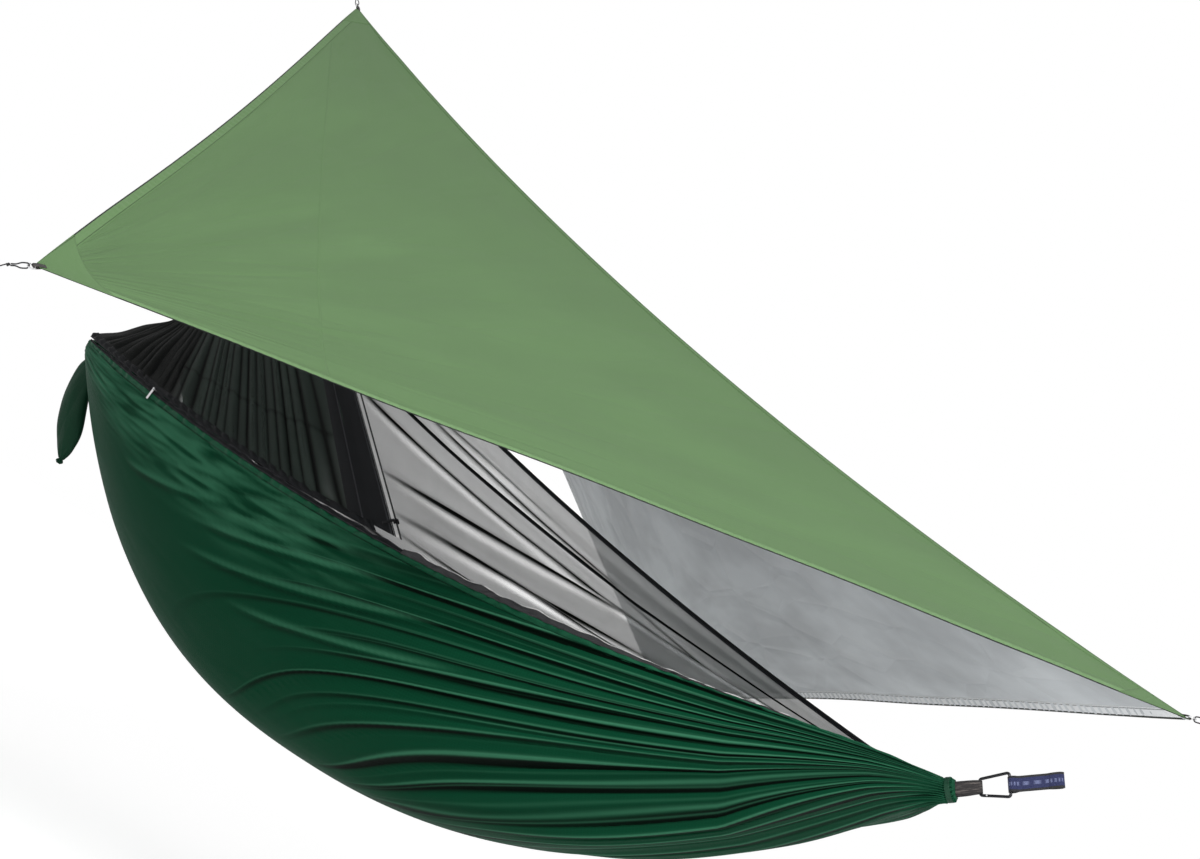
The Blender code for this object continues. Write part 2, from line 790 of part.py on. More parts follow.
def net_near_panel():
    """The near panel, unzipped and pushed to the head in pleats that fan down from the ridge."""
    inset = door_zip_width + door_band_width + 3 * tile_gap
    last_top = door_point(inset, door_top_clear)
    last_low = door_point(inset, door_length - door_foot_clear - inset * rim_slope_share)
    last_x = (last_low - middle_point).x
    columns = 4 * pleat_count
    lean = Vector((0, -1, 1)).normalized()
    foot_height = -(zip_tape_height + slider_lip + 2 * tile_gap + net_thickness)
    rows = []
    for i in range(pleat_rows + 1):
        v = i / pleat_rows
        row = []
        for j in range(columns + 1):
            u = j / columns
            low = rim_chord(mix(net_head_x, last_x, u), LEFT_SIDE, foot_height)
            high = under_ridge(mix(net_head_x, peak_x - pleat_top_clear, u), LEFT_SIDE)
            settle = smooth((u - 1) * pleat_count / 2 + 1)
            low, high = mix(low, last_low, settle), mix(high, last_top, settle)
            wave = math.sin(2 * math.pi * pleat_count * u)
            size = pleat_height * min(v * pleat_rows, 1) * (1 - v) ** (1 / 2)
            size *= smooth(u * pleat_count / 4) * smooth((1 - u) * pleat_count / 2)
            row.append(mix(low, high, v) + lean * wave * size)
        rows.append(row)
    return sheet("net_near_panel", rows, net_thickness, net_mesh())


def near_zip_tape():
    low, high = tile_gap, tile_gap + zip_tape_height
    return rim_strip("near_zip_tape", LEFT_SIDE, low, high, net_thickness, zip_tape())


def slider(name, seat, along, reach, out, finish):
    """A C-shaped slider round a tape's edge at seat, and a bail on its outer face."""
    middle_of_body = seat + reach * (slider_reach - slider_lip) / 2
    width = slider_reach + slider_lip
    body = box_between(
        name, middle_of_body, (along, reach, out),
        (slider_length, width, slider_slot + 2 * slider_wall), finish,
    )
    slot_width = slider_reach + slider_lip / 2 + cut_overrun
    slot_centre = seat + reach * (slider_reach + cut_overrun - slider_lip / 2) / 2
    slot_sizes = (slider_length + 2 * cut_overrun, slot_width, slider_slot)
    slot = box_between(f"{name}_slot", slot_centre, (along, reach, out), slot_sizes, finish)
    carve(body, slot)
    face = middle_of_body + out * (slider_slot / 2 + slider_wall)
    foot = out * (slider_wall / 2)
    post = along * (bail_radius + pull_eye_radius + seat_gap)
    path = [face - post - foot, face - post + out * bail_height, face + post + out * bail_height, face + post - foot]
    bail = as_mesh(rod(f"{name}_bail", rounded(path, bail_radius * 3 / 2, 3), bail_radius, finish, detail=1))
    join(body, bail)
    return body, face + out * bail_height, post.length


def zip_sliders():
    place = door_point(0, door_length - door_foot_clear - slider_rest)
    face_out = door_out if door_out.y < 0 else -door_out
    door_body, door_hinge, _ = slider("door_zip_slider", place, door_line, -door_side, face_out, bright_steel())
    start, end = rim_slider_cell()
    along = (end - start).normalized()
    seat = mix(start, end, (middle(rim_slider_x, 0, 0).x - start.x) / (end.x - start.x))
    out = along.cross(Z_AXIS).normalized()
    down = out.cross(along).normalized()
    down = down if down.z < 0 else -down
    rim_body, rim_hinge, _ = slider("rim_zip_slider", seat, along, down, out, bright_steel())
    hung_pull("door_zip_pull", door_hinge, door_line, -door_side, bright_steel())
    hung_pull("rim_zip_pull", rim_hinge, along, down, bright_steel())
    pivot_at(door_body, place)
    pivot_at(rim_body, seat)


def rim_slider_cell():
    """The two ends of the straight facet of the near zip tape that the rim slider runs on."""
    index = max(i for i, x in enumerate(stations) if x <= rim_slider_x)
    height = -(tile_gap + zip_tape_height)
    return rim(stations[index], LEFT_SIDE, height), rim(stations[index + 1], LEFT_SIDE, height)


def hung_pull(name, hinge, along, down, finish):
    """A ring-ended pull that hangs from the bail; its eye is round the bail's straight run."""
    down = (down - along * down.dot(along)).normalized()
    eye = pull_eye_radius + bail_radius
    path = arc(hinge, down, down.cross(along), eye, 0, 2 * math.pi, 12)[:-1]
    loop = as_mesh(rod(name, path, bail_radius * 4 / 5, finish, closed=True, detail=1))
    tail_start = hinge + down * (eye + bail_radius / 2)
    tail_end = tail_start + down * pull_length
    normal = down.cross(along)
    centre = (tail_start + tail_end) / 2
    sizes = ((tail_end - tail_start).length, pull_thickness, pull_width)
    tail = box_between(f"{name}_tail", centre, (down, normal, along), sizes, finish)
    join(loop, tail)
    return pivot_at(loop, hinge)


def fly_ridge_height(x):
    share = (x - fly_head.x) / (fly_foot.x - fly_head.x)
    return mix(fly_head.z, fly_foot.z, share) - 4 * fly_ridge_sag * share * (1 - share)


def wrinkles(x, y):
    """Low ridges that run out from each corner and die away."""
    total = 0
    for k, corner in enumerate((fly_head, fly_foot, fly_near, fly_far)):
        dx, dy = x - corner.x, y - corner.y
        distance = math.hypot(dx, dy)
        fade = smooth(distance / patch_side - 1) * (1 - smooth(distance / wrinkle_reach))
        total += math.cos(2 * wrinkle_count * math.atan2(dy, dx) + k) * fade
    return wrinkle_height * total


def fly_height(x, y):
    corner = fly_near if y < 0 else fly_far
    v = min(abs(y) / abs(corner.y), 1 - tile_gap)
    ridge_x = min(max((x - v * corner.x) / (1 - v), fly_head.x), fly_foot.x)
    share = (ridge_x - fly_head.x) / (fly_foot.x - fly_head.x)
    billow = -fly_billow * math.sin(math.pi * share) * 4 * v * (1 - v)
    return mix(fly_ridge_height(ridge_x), corner.z, v) + billow + wrinkles(x, y)


def on_fly(plan):
    return middle(plan.x, plan.y, fly_height(plan.x, plan.y))


def side_point(start, end, distance, inset):
    """A plan point along a side of the fly, drawn in by the edge's hollow cut and the inset."""
    a, b = start.xy, end.xy
    run = b - a
    q = distance / run.length
    inward = Vector((-run.y, run.x)).normalized()
    if inward.dot((fly_head + fly_foot).xy / 2 - a) < 0:
        inward.negate()
    hollow = fly_edge_cut * 16 * q * q * (1 - q) * (1 - q)
    return a + run * q + inward * (inset + hollow)


def bisector(corner, first, second):
    return ((first.xy - corner.xy).normalized() + (second.xy - corner.xy).normalized()).normalized()


def base_point(corner, first, second, side_length, share):
    """A plan point on the straight base of a corner patch; share runs from the first side to the second."""
    return mix(side_point(corner, first, side_length, 0), side_point(corner, second, side_length, 0), share)


def base_share(corner, first, second, inset):
    """How far along the patch's base the line at that inset from the first side crosses it."""
    angle = (first.xy - corner.xy).angle(second.xy - corner.xy)
    return inset / (patch_side * math.sin(angle))


def past_base(corner, first, second, inset):
    """Where a piece at that inset from the first side starts, one gap inside the patch's base."""
    share = base_share(corner, first, second, inset)
    return base_point(corner, first, second, patch_side, share) + bisector(corner, first, second) * tile_gap


def side_row(start, start_other, end, end_other, inset, steps):
    """Plan points along one side of the fly at one inset, between the two corner patches."""
    first = past_base(start, end, start_other, inset)
    last = past_base(end, start, end_other, inset)
    run = (end.xy - start.xy).normalized()
    from_start, to_end = (first - start.xy).dot(run), (last - start.xy).dot(run)
    row = [side_point(start, end, distance, inset) for distance in spaced(from_start, to_end, steps)]
    row[0], row[-1] = first, last
    return row


def ridge_start(corner, first, second, y):
    """Where a line at that y meets the base of a ridge corner's patch, one gap inside it."""
    a = base_point(corner, first, second, patch_side, 0)
    b = base_point(corner, first, second, patch_side, 1)
    share = (y - a.y) / (b.y - a.y)
    return mix(a, b, share) + bisector(corner, first, second) * tile_gap


def fly_panel(name, low_corner):
    side = LEFT_SIDE if low_corner is fly_near else RIGHT_SIDE
    inset = fly_hem_width + tile_gap / 2
    half_tape = side * (fly_ridge_tape_width / 2 + tile_gap)
    left = side_row(fly_head, fly_far if low_corner is fly_near else fly_near, low_corner, fly_foot, inset, fly_rows - 1)
    right = side_row(fly_foot, fly_far if low_corner is fly_near else fly_near, low_corner, fly_head, inset, fly_rows - 1)
    start = ridge_start(fly_head, fly_near, fly_far, half_tape)
    end = ridge_start(fly_foot, fly_near, fly_far, half_tape)
    rows = [[on_fly(point) for point in spaced(start, end, fly_columns)]]
    rows += [[on_fly(point) for point in spaced(a, b, fly_columns)] for a, b in zip(left, right)]
    return slab(name, rows, fly_thickness, fly_cloth())


def fly_hem(name, start, start_other, end, end_other):
    rows = []
    for inset in (0, fly_hem_width - tile_gap / 2):
        rows.append([on_fly(point) for point in side_row(start, start_other, end, end_other, inset, 16)])
    return slab(name, rows, fly_thickness, fly_cloth())


def fly_ridge_tape():
    rows = []
    for y in (-fly_ridge_tape_width / 2, 0, fly_ridge_tape_width / 2):
        start = ridge_start(fly_head, fly_near, fly_far, y)
        end = ridge_start(fly_foot, fly_near, fly_far, y)
        rows.append([on_fly(point) for point in spaced(start, end, fly_columns)])
    return slab("fly_ridge_tape", rows, fly_thickness, fly_patch_cloth())


def corner_patch(name, corner, first, second):
    angle = (first.xy - corner.xy).angle(second.xy - corner.xy)
    tip_side = patch_tip_width / 2 / math.sin(angle / 2)
    shares = [0, 1 / 4, 1 / 2, 3 / 4, 1]
    if corner in (fly_head, fly_foot):
        a = base_point(corner, first, second, patch_side, 0).y
        b = base_point(corner, first, second, patch_side, 1).y
        crest = -a / (b - a)
        shares = [0, crest / 2, crest, (1 + crest) / 2, 1]
    rows = []
    for length in spaced(patch_side, tip_side, 4):
        rows.append([on_fly(base_point(corner, first, second, length, share)) for share in shares])
    slab(name, rows, fly_thickness, fly_patch_cloth())
    tip = (rows[-1][0] + rows[-1][-1]) / 2
    inward = (rows[0][0] + rows[0][-1]) / 2
    out = (tip - inward).normalized()
    across = (rows[-1][-1] - rows[-1][0]).normalized()
    crest_point = rows[-1][2]
    return crest_point, out, across


def corner_hardware(name, tip, out, across):
    """The webbing tab, ring, guy loop and knot of one corner of the fly."""
    normal = out.cross(across).normalized()
    opening = ring_rod_radius + swing_gap
    radius = opening + tab_thickness / 2
    inner = tip + out * (tile_gap + radius + tab_thickness / 2)
    ring_band(
        f"{name}_corner_tab", inner, out, normal, across, corner_tab_length - 2 * radius,
        opening, tab_thickness, corner_tab_width, dark_webbing(), steps=5,
    )
    bar = inner + out * (corner_tab_length - 2 * radius)
    half = ring_bar / 2
    corners = [
        bar - across * half, bar - across * half + out * ring_depth * 2 / 3,
        bar - across * half / 3 + out * ring_depth, bar + across * half / 3 + out * ring_depth,
        bar + across * half + out * ring_depth * 2 / 3, bar + across * half,
    ]
    ring_path = rounded(corners, ring_corner_radius, 2, closed=True)
    ring_finish = bright_steel()
    pivot_at(rod(f"{name}_corner_ring", ring_path, ring_rod_radius, ring_finish, closed=True, detail=1), bar)

    bend = bar + out * (ring_depth - ring_rod_radius - seat_gap - guy_radius + guy_bend_radius)
    end = bend + out * guy_reach
    start_side, end_side = normal * guy_strand_offset, -normal * guy_strand_offset
    turn = arc(bend, normal, -out, guy_bend_radius, 0, math.pi, 6)
    upper = [end + start_side, end + start_side - out * guy_reach / 3, turn[0] + out * guy_reach / 3]
    lower = [turn[-1] + out * guy_reach / 3, end + end_side - out * guy_reach / 3, end + end_side]
    guy = rod(f"{name}_guy_loop", smooth_path(upper + turn + lower), guy_radius, guy_cord(), detail=1)
    pivot_at(guy, bar)
    knot_start = end + out * seat_gap
    knot_path = [knot_start + out * knot_length * share for share in knot_place_shares]
    knot_shares = list(knot_swell_shares)
    knot_end = knot_path[-1]
    for share in spaced(0, 1, 3)[1:]:
        knot_path.append(knot_end + out * tail_length * share - Z_AXIS * tail_length * share * share / 2)
        knot_shares.append(guy_radius / knot_radius)
    knot = rod(f"{name}_guy_knot", knot_path, knot_radius, guy_cord(), detail=2, shares=knot_shares)
    pivot_at(knot, bar)


def smooth_path(points, steps=2):
    """A Catmull-Rom curve through the points."""
    padded = [2 * points[0] - points[1]] + points + [2 * points[-1] - points[-2]]
    path = []
    for i in range(1, len(padded) - 2):
        p0, p1, p2, p3 = padded[i - 1 : i + 3]
        for k in range(steps):
            t = k / steps
            path.append((2 * p1 + (p2 - p0) * t + (2 * p0 - 5 * p1 + 4 * p2 - p3) * t**2
                         + (3 * p1 - p0 - 3 * p2 + p3) * t**3) / 2)
    path.append(points[-1])
    return path


def rain_fly():
    fly_panel("fly_near_panel", fly_near)
    fly_panel("fly_far_panel", fly_far)
    fly_ridge_tape()
    fly_hem("fly_hem_head_near", fly_head, fly_far, fly_near, fly_foot)
    fly_hem("fly_hem_near_foot", fly_near, fly_head, fly_foot, fly_far)
    fly_hem("fly_hem_foot_far", fly_foot, fly_near, fly_far, fly_head)
    fly_hem("fly_hem_far_head", fly_far, fly_foot, fly_head, fly_near)
    corners = (
        ("head", fly_head, fly_near, fly_far), ("near", fly_near, fly_head, fly_foot),
        ("foot", fly_foot, fly_near, fly_far), ("far", fly_far, fly_foot, fly_head),
    )
    for name, corner, first, second in corners:
        tip, out, across = corner_patch(f"{name}_corner_patch", corner, first, second)
        corner_hardware(name, tip, out, across)


def lift_line():
    """The peak tab, elastic lift cord, hook and the sewn loop under the fly's ridge."""
    half_turn = peak_tab_half_opening + tab_thickness
    tape_top = ridge(peak_x) + Z_AXIS * (ridge_tape_thickness / 2 + tile_gap)
    inner = tape_top + Z_AXIS * half_turn
    ring_band(
        "net_peak_tab", inner, Z_AXIS, Vector((1, 0, 0)), Y_AXIS, peak_tab_height - 2 * half_turn,
        peak_tab_half_opening, tab_thickness, peak_tab_width, dark_webbing(), steps=5,
    )
    cord_foot = tape_top + Z_AXIS * (peak_tab_height + seat_gap)
    under = on_fly(Vector((peak_x, 0))) - Z_AXIS * (fly_thickness / 2 + seat_gap + ridge_loop_drop())
    half_turn = ridge_loop_half_opening + tab_thickness
    top = under - Z_AXIS * half_turn
    ring_band(
        "fly_ridge_loop", top, -Z_AXIS, Y_AXIS, Vector((1, 0, 0)), ridge_loop_height - 2 * half_turn,
        ridge_loop_half_opening, tab_thickness, ridge_loop_width, dark_webbing(), steps=5,
    )
    loop_floor = under - Z_AXIS * (ridge_loop_height - tab_thickness / 2)
    centre = loop_floor
    bend = hook_inner_radius + hook_rod_radius
    along = Vector((1, 0, 0))
    over = arc(centre, -along, Z_AXIS, bend, 0, math.pi, 6)
    shank_end = centre - Z_AXIS * hook_shank
    quarter = hook_shank / 4
    path = [shank_end, shank_end + Z_AXIS * quarter, centre - along * bend / 2 - Z_AXIS * 2 * quarter]
    path += [centre - along * bend - Z_AXIS * quarter] + over + [over[-1] - Z_AXIS * quarter]
    rod("lift_hook", smooth_path(path), hook_rod_radius, black_steel(), detail=1)
    cord_top = shank_end - Z_AXIS * seat_gap
    rod("net_lift_cord", spaced(cord_foot, cord_top, 6), lift_cord_radius, guy_cord(), detail=2)


def ridge_loop_drop():
    """How far below the crest the loop's round top touches the fly's two slopes."""
    edge = ridge_loop_half_opening + tab_thickness
    fall = fly_height(peak_x, 0) - min(fly_height(peak_x, edge), fly_height(peak_x, -edge))
    half = ridge_loop_width / 2
    lean = fly_height(peak_x, 0) - min(fly_height(peak_x + half, 0), fly_height(peak_x - half, 0))
    return (edge + fly_thickness / 2) * (math.hypot(fall, edge) / edge - 1) + lean


def sack_section(share):
    """Centre, half width and half thickness of the stuff sack at a share of its length."""
    spans = len(sack_axis) - 1
    at = share * spans
    index = min(int(at), spans - 1)
    t = at - index
    rows = [sack_axis[max(index - 1, 0)], sack_axis[index], sack_axis[index + 1], sack_axis[min(index + 2, spans)]]
    values = []
    for p0, p1, p2, p3 in zip(*rows):
        values.append((2 * p1 + (p2 - p0) * t + (2 * p0 - 5 * p1 + 4 * p2 - p3) * t**2
                       + (3 * p1 - p0 - 3 * p2 + p3) * t**3) / 2)
    return values


def stuff_sack():
    bm = bmesh.new()
    rings = []
    for i in range(sack_rings + 1):
        x, z, wide, thin = sack_section(i / sack_rings)
        ring = []
        for k in range(sack_sides):
            turn = 2 * math.pi * k / sack_sides
            offset = Vector((wide * math.cos(turn), thin * math.sin(turn), 0))
            ring.append(bm.verts.new(middle(x, sack_side, z) + offset))
        rings.append(ring)
    for first, second in zip(rings, rings[1:]):
        for k in range(sack_sides):
            j = (k + 1) % sack_sides
            bm.faces.new((first[k], first[j], second[j], second[k]))
    bm.faces.new(rings[0])
    bm.faces.new(reversed(rings[-1]))
    sack = mesh_object("stuff_sack", bm, sack_cloth())
    hang = head_neck + head_line * sack_cord_seat
    x, z, wide, thin = sack_section(1)
    tip = middle(x, sack_side, z)
    hem_top = tip - Z_AXIS * seat_gap
    points = [hem_top - Z_AXIS * sack_hem_length * share for share in spaced(0, 1, 3)]
    hem = rod("sack_mouth_hem", points, thin, sack_cloth(), detail=2, shares=sack_hem_swell_shares)
    top_x, top_z, top_wide, top_thin = sack_section(0)
    top = middle(top_x, sack_side, top_z)
    side_clear = end_loop_width / 2 + sack_cord_radius + swing_gap
    under_clear = foot_loop_opening() + end_loop_thickness + sack_cord_radius + sack_cord_sling
    bend = 2 * sack_cord_radius
    near, far = hang - Y_AXIS * side_clear, hang + Y_AXIS * side_clear
    under = far - head_up * under_clear
    turn = top + Z_AXIS * (seat_gap + sack_cord_radius + bend)
    foot = turn
    for _ in range(sack_rings):
        first, second = (near - foot).normalized(), (under - foot).normalized()
        foot = turn - (first + second).normalized() * bend / math.sin(first.angle(second) / 2)
    cord_path = rounded([near, far, under, foot], bend, 3, closed=True)
    cord = rod("sack_hang_cord", cord_path, sack_cord_radius, dark_webbing(), closed=True, detail=1)
    for piece in (sack, hem, cord):
        pivot_at(piece, hang)


def foot_loop_opening():
    """Half the space between a webbing loop's two runs, to clear the carabiner's rod."""
    return rod_radius + swing_gap


def main():
    clear_scene()
    hammock_body()
    rim_hems()
    near_zip_tape()
    opening = foot_loop_opening()
    gathered_end("foot", foot_neck, foot_line, foot_up, Y_AXIS, opening, foot_loop_reach, hammock_cloth())
    gathered_end("head", head_neck, head_line, Y_AXIS, head_up, opening, head_loop_reach, hammock_cloth())
    carabiners()
    foot_strap()
    net_ridge_tape()
    net_far_panel()
    net_door()
    net_near_panel()
    zip_sliders()
    rain_fly()
    lift_line()
    stuff_sack()


main()
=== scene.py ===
"""Hammock tent: its cloth, net, webbing, cords and metal in full detail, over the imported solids.

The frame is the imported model's: metres, +X from the head end to the foot end, -Y the side of the open
net door, +Z up, and the origin at the foot strap's outer loop.
"""

import json
import math

import bmesh
import bpy
from mathutils import Matrix, Vector, noise
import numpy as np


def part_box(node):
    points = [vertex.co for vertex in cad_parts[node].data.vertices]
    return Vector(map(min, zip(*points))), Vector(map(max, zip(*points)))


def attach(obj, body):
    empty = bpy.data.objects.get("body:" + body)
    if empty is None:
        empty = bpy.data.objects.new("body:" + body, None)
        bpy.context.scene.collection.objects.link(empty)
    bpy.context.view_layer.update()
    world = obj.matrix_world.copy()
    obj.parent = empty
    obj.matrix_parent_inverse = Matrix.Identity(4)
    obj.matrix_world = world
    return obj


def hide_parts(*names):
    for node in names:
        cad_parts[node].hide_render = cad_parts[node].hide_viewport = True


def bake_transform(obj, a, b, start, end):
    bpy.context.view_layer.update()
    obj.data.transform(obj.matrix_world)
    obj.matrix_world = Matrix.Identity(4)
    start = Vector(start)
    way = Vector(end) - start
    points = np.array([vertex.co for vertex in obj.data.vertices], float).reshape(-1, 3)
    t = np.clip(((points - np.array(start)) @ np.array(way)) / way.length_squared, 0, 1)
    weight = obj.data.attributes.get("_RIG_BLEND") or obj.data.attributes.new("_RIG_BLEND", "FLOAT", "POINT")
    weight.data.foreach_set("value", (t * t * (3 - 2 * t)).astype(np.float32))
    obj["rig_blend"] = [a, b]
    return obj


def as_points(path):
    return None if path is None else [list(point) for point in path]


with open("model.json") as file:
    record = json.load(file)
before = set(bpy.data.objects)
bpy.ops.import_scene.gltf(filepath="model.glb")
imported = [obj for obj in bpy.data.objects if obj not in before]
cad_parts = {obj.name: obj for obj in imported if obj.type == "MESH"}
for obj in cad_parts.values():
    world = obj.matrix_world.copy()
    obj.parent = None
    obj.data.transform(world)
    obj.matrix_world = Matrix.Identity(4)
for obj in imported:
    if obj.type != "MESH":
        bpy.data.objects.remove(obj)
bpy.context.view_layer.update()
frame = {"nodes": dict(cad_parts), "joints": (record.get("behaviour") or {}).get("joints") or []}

bl_info = {
    "name": "Hammock tent",
    "version": (1, 0, 0),
    "blender": (4, 5, 0),
    "location": "3D View > Sidebar > Hammock tent",
    "description": "Builds a hammock tent with its bug net, rain fly, webbing and fittings",
    "category": "Object",
}

X_AXIS, Y_AXIS, Z_AXIS = Vector((1, 0, 0)), Vector((0, 1, 0)), Vector((0, 0, 1))
NEAR, FAR = -1, 1

# Hammock
head_reach, foot_reach = 1.230, 1.250
sag, sag_power, sag_lean, belly = 0.580, 2.298, -0.047, -0.138
rim_half_width, rim_blunt, rim_lean = 0.363, 0.385, 0.051
rim_drop, rim_drop_power, drop_lean = 0.126, 1.057, 0.241
neck_radius, neck_length, neck_blend = 0.0205, 0.016, 0.090
neck_wrap, neck_pleats = math.radians(150), 13
tail_share = 0.025
hem_width, zip_reach = 0.013, 1.02

# Suspension
hang_angle, head_droop = math.radians(32), math.radians(15)
rod_radius = 0.00275
foot_loop_reach, head_loop_reach = 0.046, 0.050
loop_tail, loop_wall, loop_width = 0.007, 0.0018, 0.026
loop_play, clearance = 0.0005, 0.0003
whipping_length, whipping_radius, whipping_thread, whipping_turns = 0.013, 0.0222, 0.00090, 6
whipping_first, whipping_last = -0.0126, -0.0034
bunch_radius, bunch_mouth = 0.0190, 0.0030
bar_span, strap_length, strap_width, strap_wall = 0.0535, 0.094, 0.028, 0.0014
strap_sewn_from, strap_sewn_to = 0.017, 0.073
foot_line = Vector((math.cos(hang_angle), 0, math.sin(hang_angle)))
foot_up = Vector((-math.sin(hang_angle), 0, math.cos(hang_angle)))
head_line = Vector((-math.cos(head_droop), 0, -math.sin(head_droop)))
head_up = Vector((-math.sin(head_droop), 0, math.cos(head_droop)))
centre = -(foot_loop_reach + bar_span + strap_length) * foot_line - Vector((foot_reach, 0, 0))
foot_neck = centre + Vector((foot_reach, 0, 0))
head_neck = centre - Vector((head_reach, 0, 0))
foot_bar = foot_neck + foot_loop_reach * foot_line
wide_bar = foot_bar + bar_span * foot_line
bed_head_x = (head_neck - head_line * neck_length - centre).x
bed_foot_x = (foot_neck - foot_line * neck_length - centre).x

# Net
net_head_x, net_foot_x = -1.1213, 1.1426
peak_x, peak_height = -0.800, 0.455
ridge_head_x, ridge_head_height = -1.190, 0.074
ridge_foot_x, ridge_foot_height, ridge_foot_sag = 1.130, -0.012, 0.056
ridge_wall, net_top_side = 0.0024, 0.0045
zip_height, door_x, door_band, door_zip = 0.014, 0.190, 0.033, 0.012
door_top_clear, door_foot_clear, pleat_top_clear = 0.024, 0.022, 0.060

# Rain fly, its corners measured from the middle of the hammock
fly_head = Vector((-1.195, 0, 1.115))
fly_foot = Vector((1.556, 0, 0.291))
fly_near = Vector((-0.009, -1.289, -0.076))
fly_far = Vector((-0.086, 1.306, -0.005))
fly_ridge_sag, edge_cut, fly_billow = 0.093, 0.016, 0.012
fly_hem, patch_side, patch_tip = 0.022, 0.135, 0.016
wrinkle_reach, wrinkle_count = 0.62, 9

# Stuff sack: x, z, half width and half thickness down its length
sack_side = -0.045
sack_axis = (
    (-1.246, -0.034, 0.0050, 0.0040),
    (-1.241, -0.072, 0.0300, 0.0110),
    (-1.214, -0.145, 0.0445, 0.0180),
    (-1.176, -0.215, 0.0480, 0.0190),
    (-1.150, -0.264, 0.0310, 0.0130),
    (-1.136, -0.296, 0.0085, 0.0060),
)

# Camera, lamps and floor: turns in degrees, and places measured from the middle of the hammock
camera_yaw, camera_pitch, camera_roll = -35.26, 10.12, 31.03
camera_place, camera_lens = (2.378, -3.098, -0.341), 54
lamps = (("key", (2.6, -3.6, 2.4), 1.6, 140), ("fill", (3.2, -2.6, -0.6), 1.8, 45))
floor_drop, floor_half = 1.05, 60

# What the bed's finish reads from its cloth: a fold's number and strength, how far off the foot is, and, as
# fold, the painted light and shade of its creases, rumples and pleats
bed_labels = ("fan", "heft", "reach", "fold")


def colour(name, start, about):
    return bpy.props.FloatVectorProperty(
        name=name, description=about, default=start, size=3, min=0, max=1, subtype="COLOR"
    )


def length(name, start, about):
    return bpy.props.FloatProperty(
        name=name, description=about, default=start, min=0, soft_max=4 * start,
        precision=4, subtype="DISTANCE", unit="LENGTH",
    )


class TentColours(bpy.types.PropertyGroup):
    """Colours of the cloth, net, webbing and metal."""

    bed: colour("Hammock cloth", (0.0028, 0.0480, 0.0215), "Colour of the hammock's bed")
    sack: colour("Stuff sack", (0.0022, 0.0340, 0.0150), "Colour of the stuff sack")
    fly: colour("Fly, outside", (0.1260, 0.2270, 0.0950), "Colour of the fly's outer face")
    lining: colour("Fly, inside", (0.800, 0.840, 0.870), "Colour of the fly's coated inner face")
    patch: colour("Fly patches", (0.1220, 0.2190, 0.0920), "Colour of the corner patches")
    net: colour("Gathered net", (0.0170, 0.0230, 0.0195), "Colour of the gathered net")
    # The taut net's colour is painted light: a far lighter copy of the same net as the gathered one, standing
    # in for the light that the fly's shade keeps from it.
    taut: colour("Taut net", (0.850, 0.860, 0.855), "Colour of the taut net")
    trim: colour("Net tape", (0.0095, 0.0100, 0.0110), "Colour of the tape and bands on the net")
    zip: colour("Zip tape", (0.800, 0.790, 0.780), "Colour of the zip's woven tape")
    webbing: colour("Webbing", (0.0150, 0.0125, 0.0130), "Colour of the dark webbing")
    strap: colour("Foot strap", (0.0110, 0.0150, 0.0620), "Colour of the foot strap")
    cord: colour("Cord", (0.0130, 0.0130, 0.0140), "Colour of the cords")
    steel: colour("Steel", (0.620, 0.620, 0.630), "Colour of the rings and sliders")
    coating: colour("Black steel", (0.018, 0.018, 0.020), "Colour of the carabiners and the hook")


class TentSizes(bpy.types.PropertyGroup):
    """Sizes of the folds, pleats and weave."""

    fold: length("Long folds", 0.0110, "Height of the bed's long folds at the foot end")
    pinch: length("Pinched folds", 0.0062, "Height of the narrow folds that run to the foot end")
    pleat: length("Net pleats", 0.0085, "Depth of the pleats of the gathered net")
    wrinkle: length("Fly wrinkles", 0.0050, "Height of the wrinkles at the fly's corners")
    thread: length("Cloth thread", 0.0011, "Distance between threads of the cloth")
    square: length("Ripstop square", 0.0055, "Distance between the cloth's thicker threads")
    mesh: length("Net mesh", 0.0016, "Distance between threads of the net")
    rib: length("Webbing rib", 0.0019, "Distance between ribs of the webbing")
    stitch: length("Stitch", 0.0034, "Length of one stitch and its gap")


def smooth(share):
    share = min(max(share, 0), 1)
    return share * share * (3 - 2 * share)


def mix(start, end, share):
    return start + (end - start) * share


def bell(off):
    """1 at 0, falling away on both sides."""
    return math.exp(-off * off)


def middle(x, y, z):
    """A place measured from the middle of the hammock, in the model's frame."""
    return centre + Vector((x, y, z))


def uneven(x, y, seed=0.0):
    """Smooth noise from -1 to 1, the same on each run."""
    return noise.noise(Vector((x, y, seed)))


def spaced(start, end, steps):
    return [mix(start, end, i / steps) for i in range(steps + 1)]


def around(first, second, angle):
    return math.cos(angle) * first + math.sin(angle) * second


def catmull(points, share):
    """A value on the smooth curve through the rows of numbers, at a share of its length."""
    spans = len(points) - 1
    at = min(max(share, 0), 1) * spans
    index = min(int(at), spans - 1)
    t = at - index
    near = [points[min(max(index + k, 0), spans)] for k in (-1, 0, 1, 2)]
    if index == 0:
        near[0] = [2 * a - b for a, b in zip(points[0], points[1])]
    if index == spans - 1:
        near[3] = [2 * a - b for a, b in zip(points[-1], points[-2])]
    return [
        (2 * b + (c - a) * t + (2 * a - 5 * b + 4 * c - d) * t**2 + (3 * b - a - 3 * c + d) * t**3) / 2
        for a, b, c, d in zip(*near)
    ]


# Materials: one board of nodes each, with patterns shared as node groups


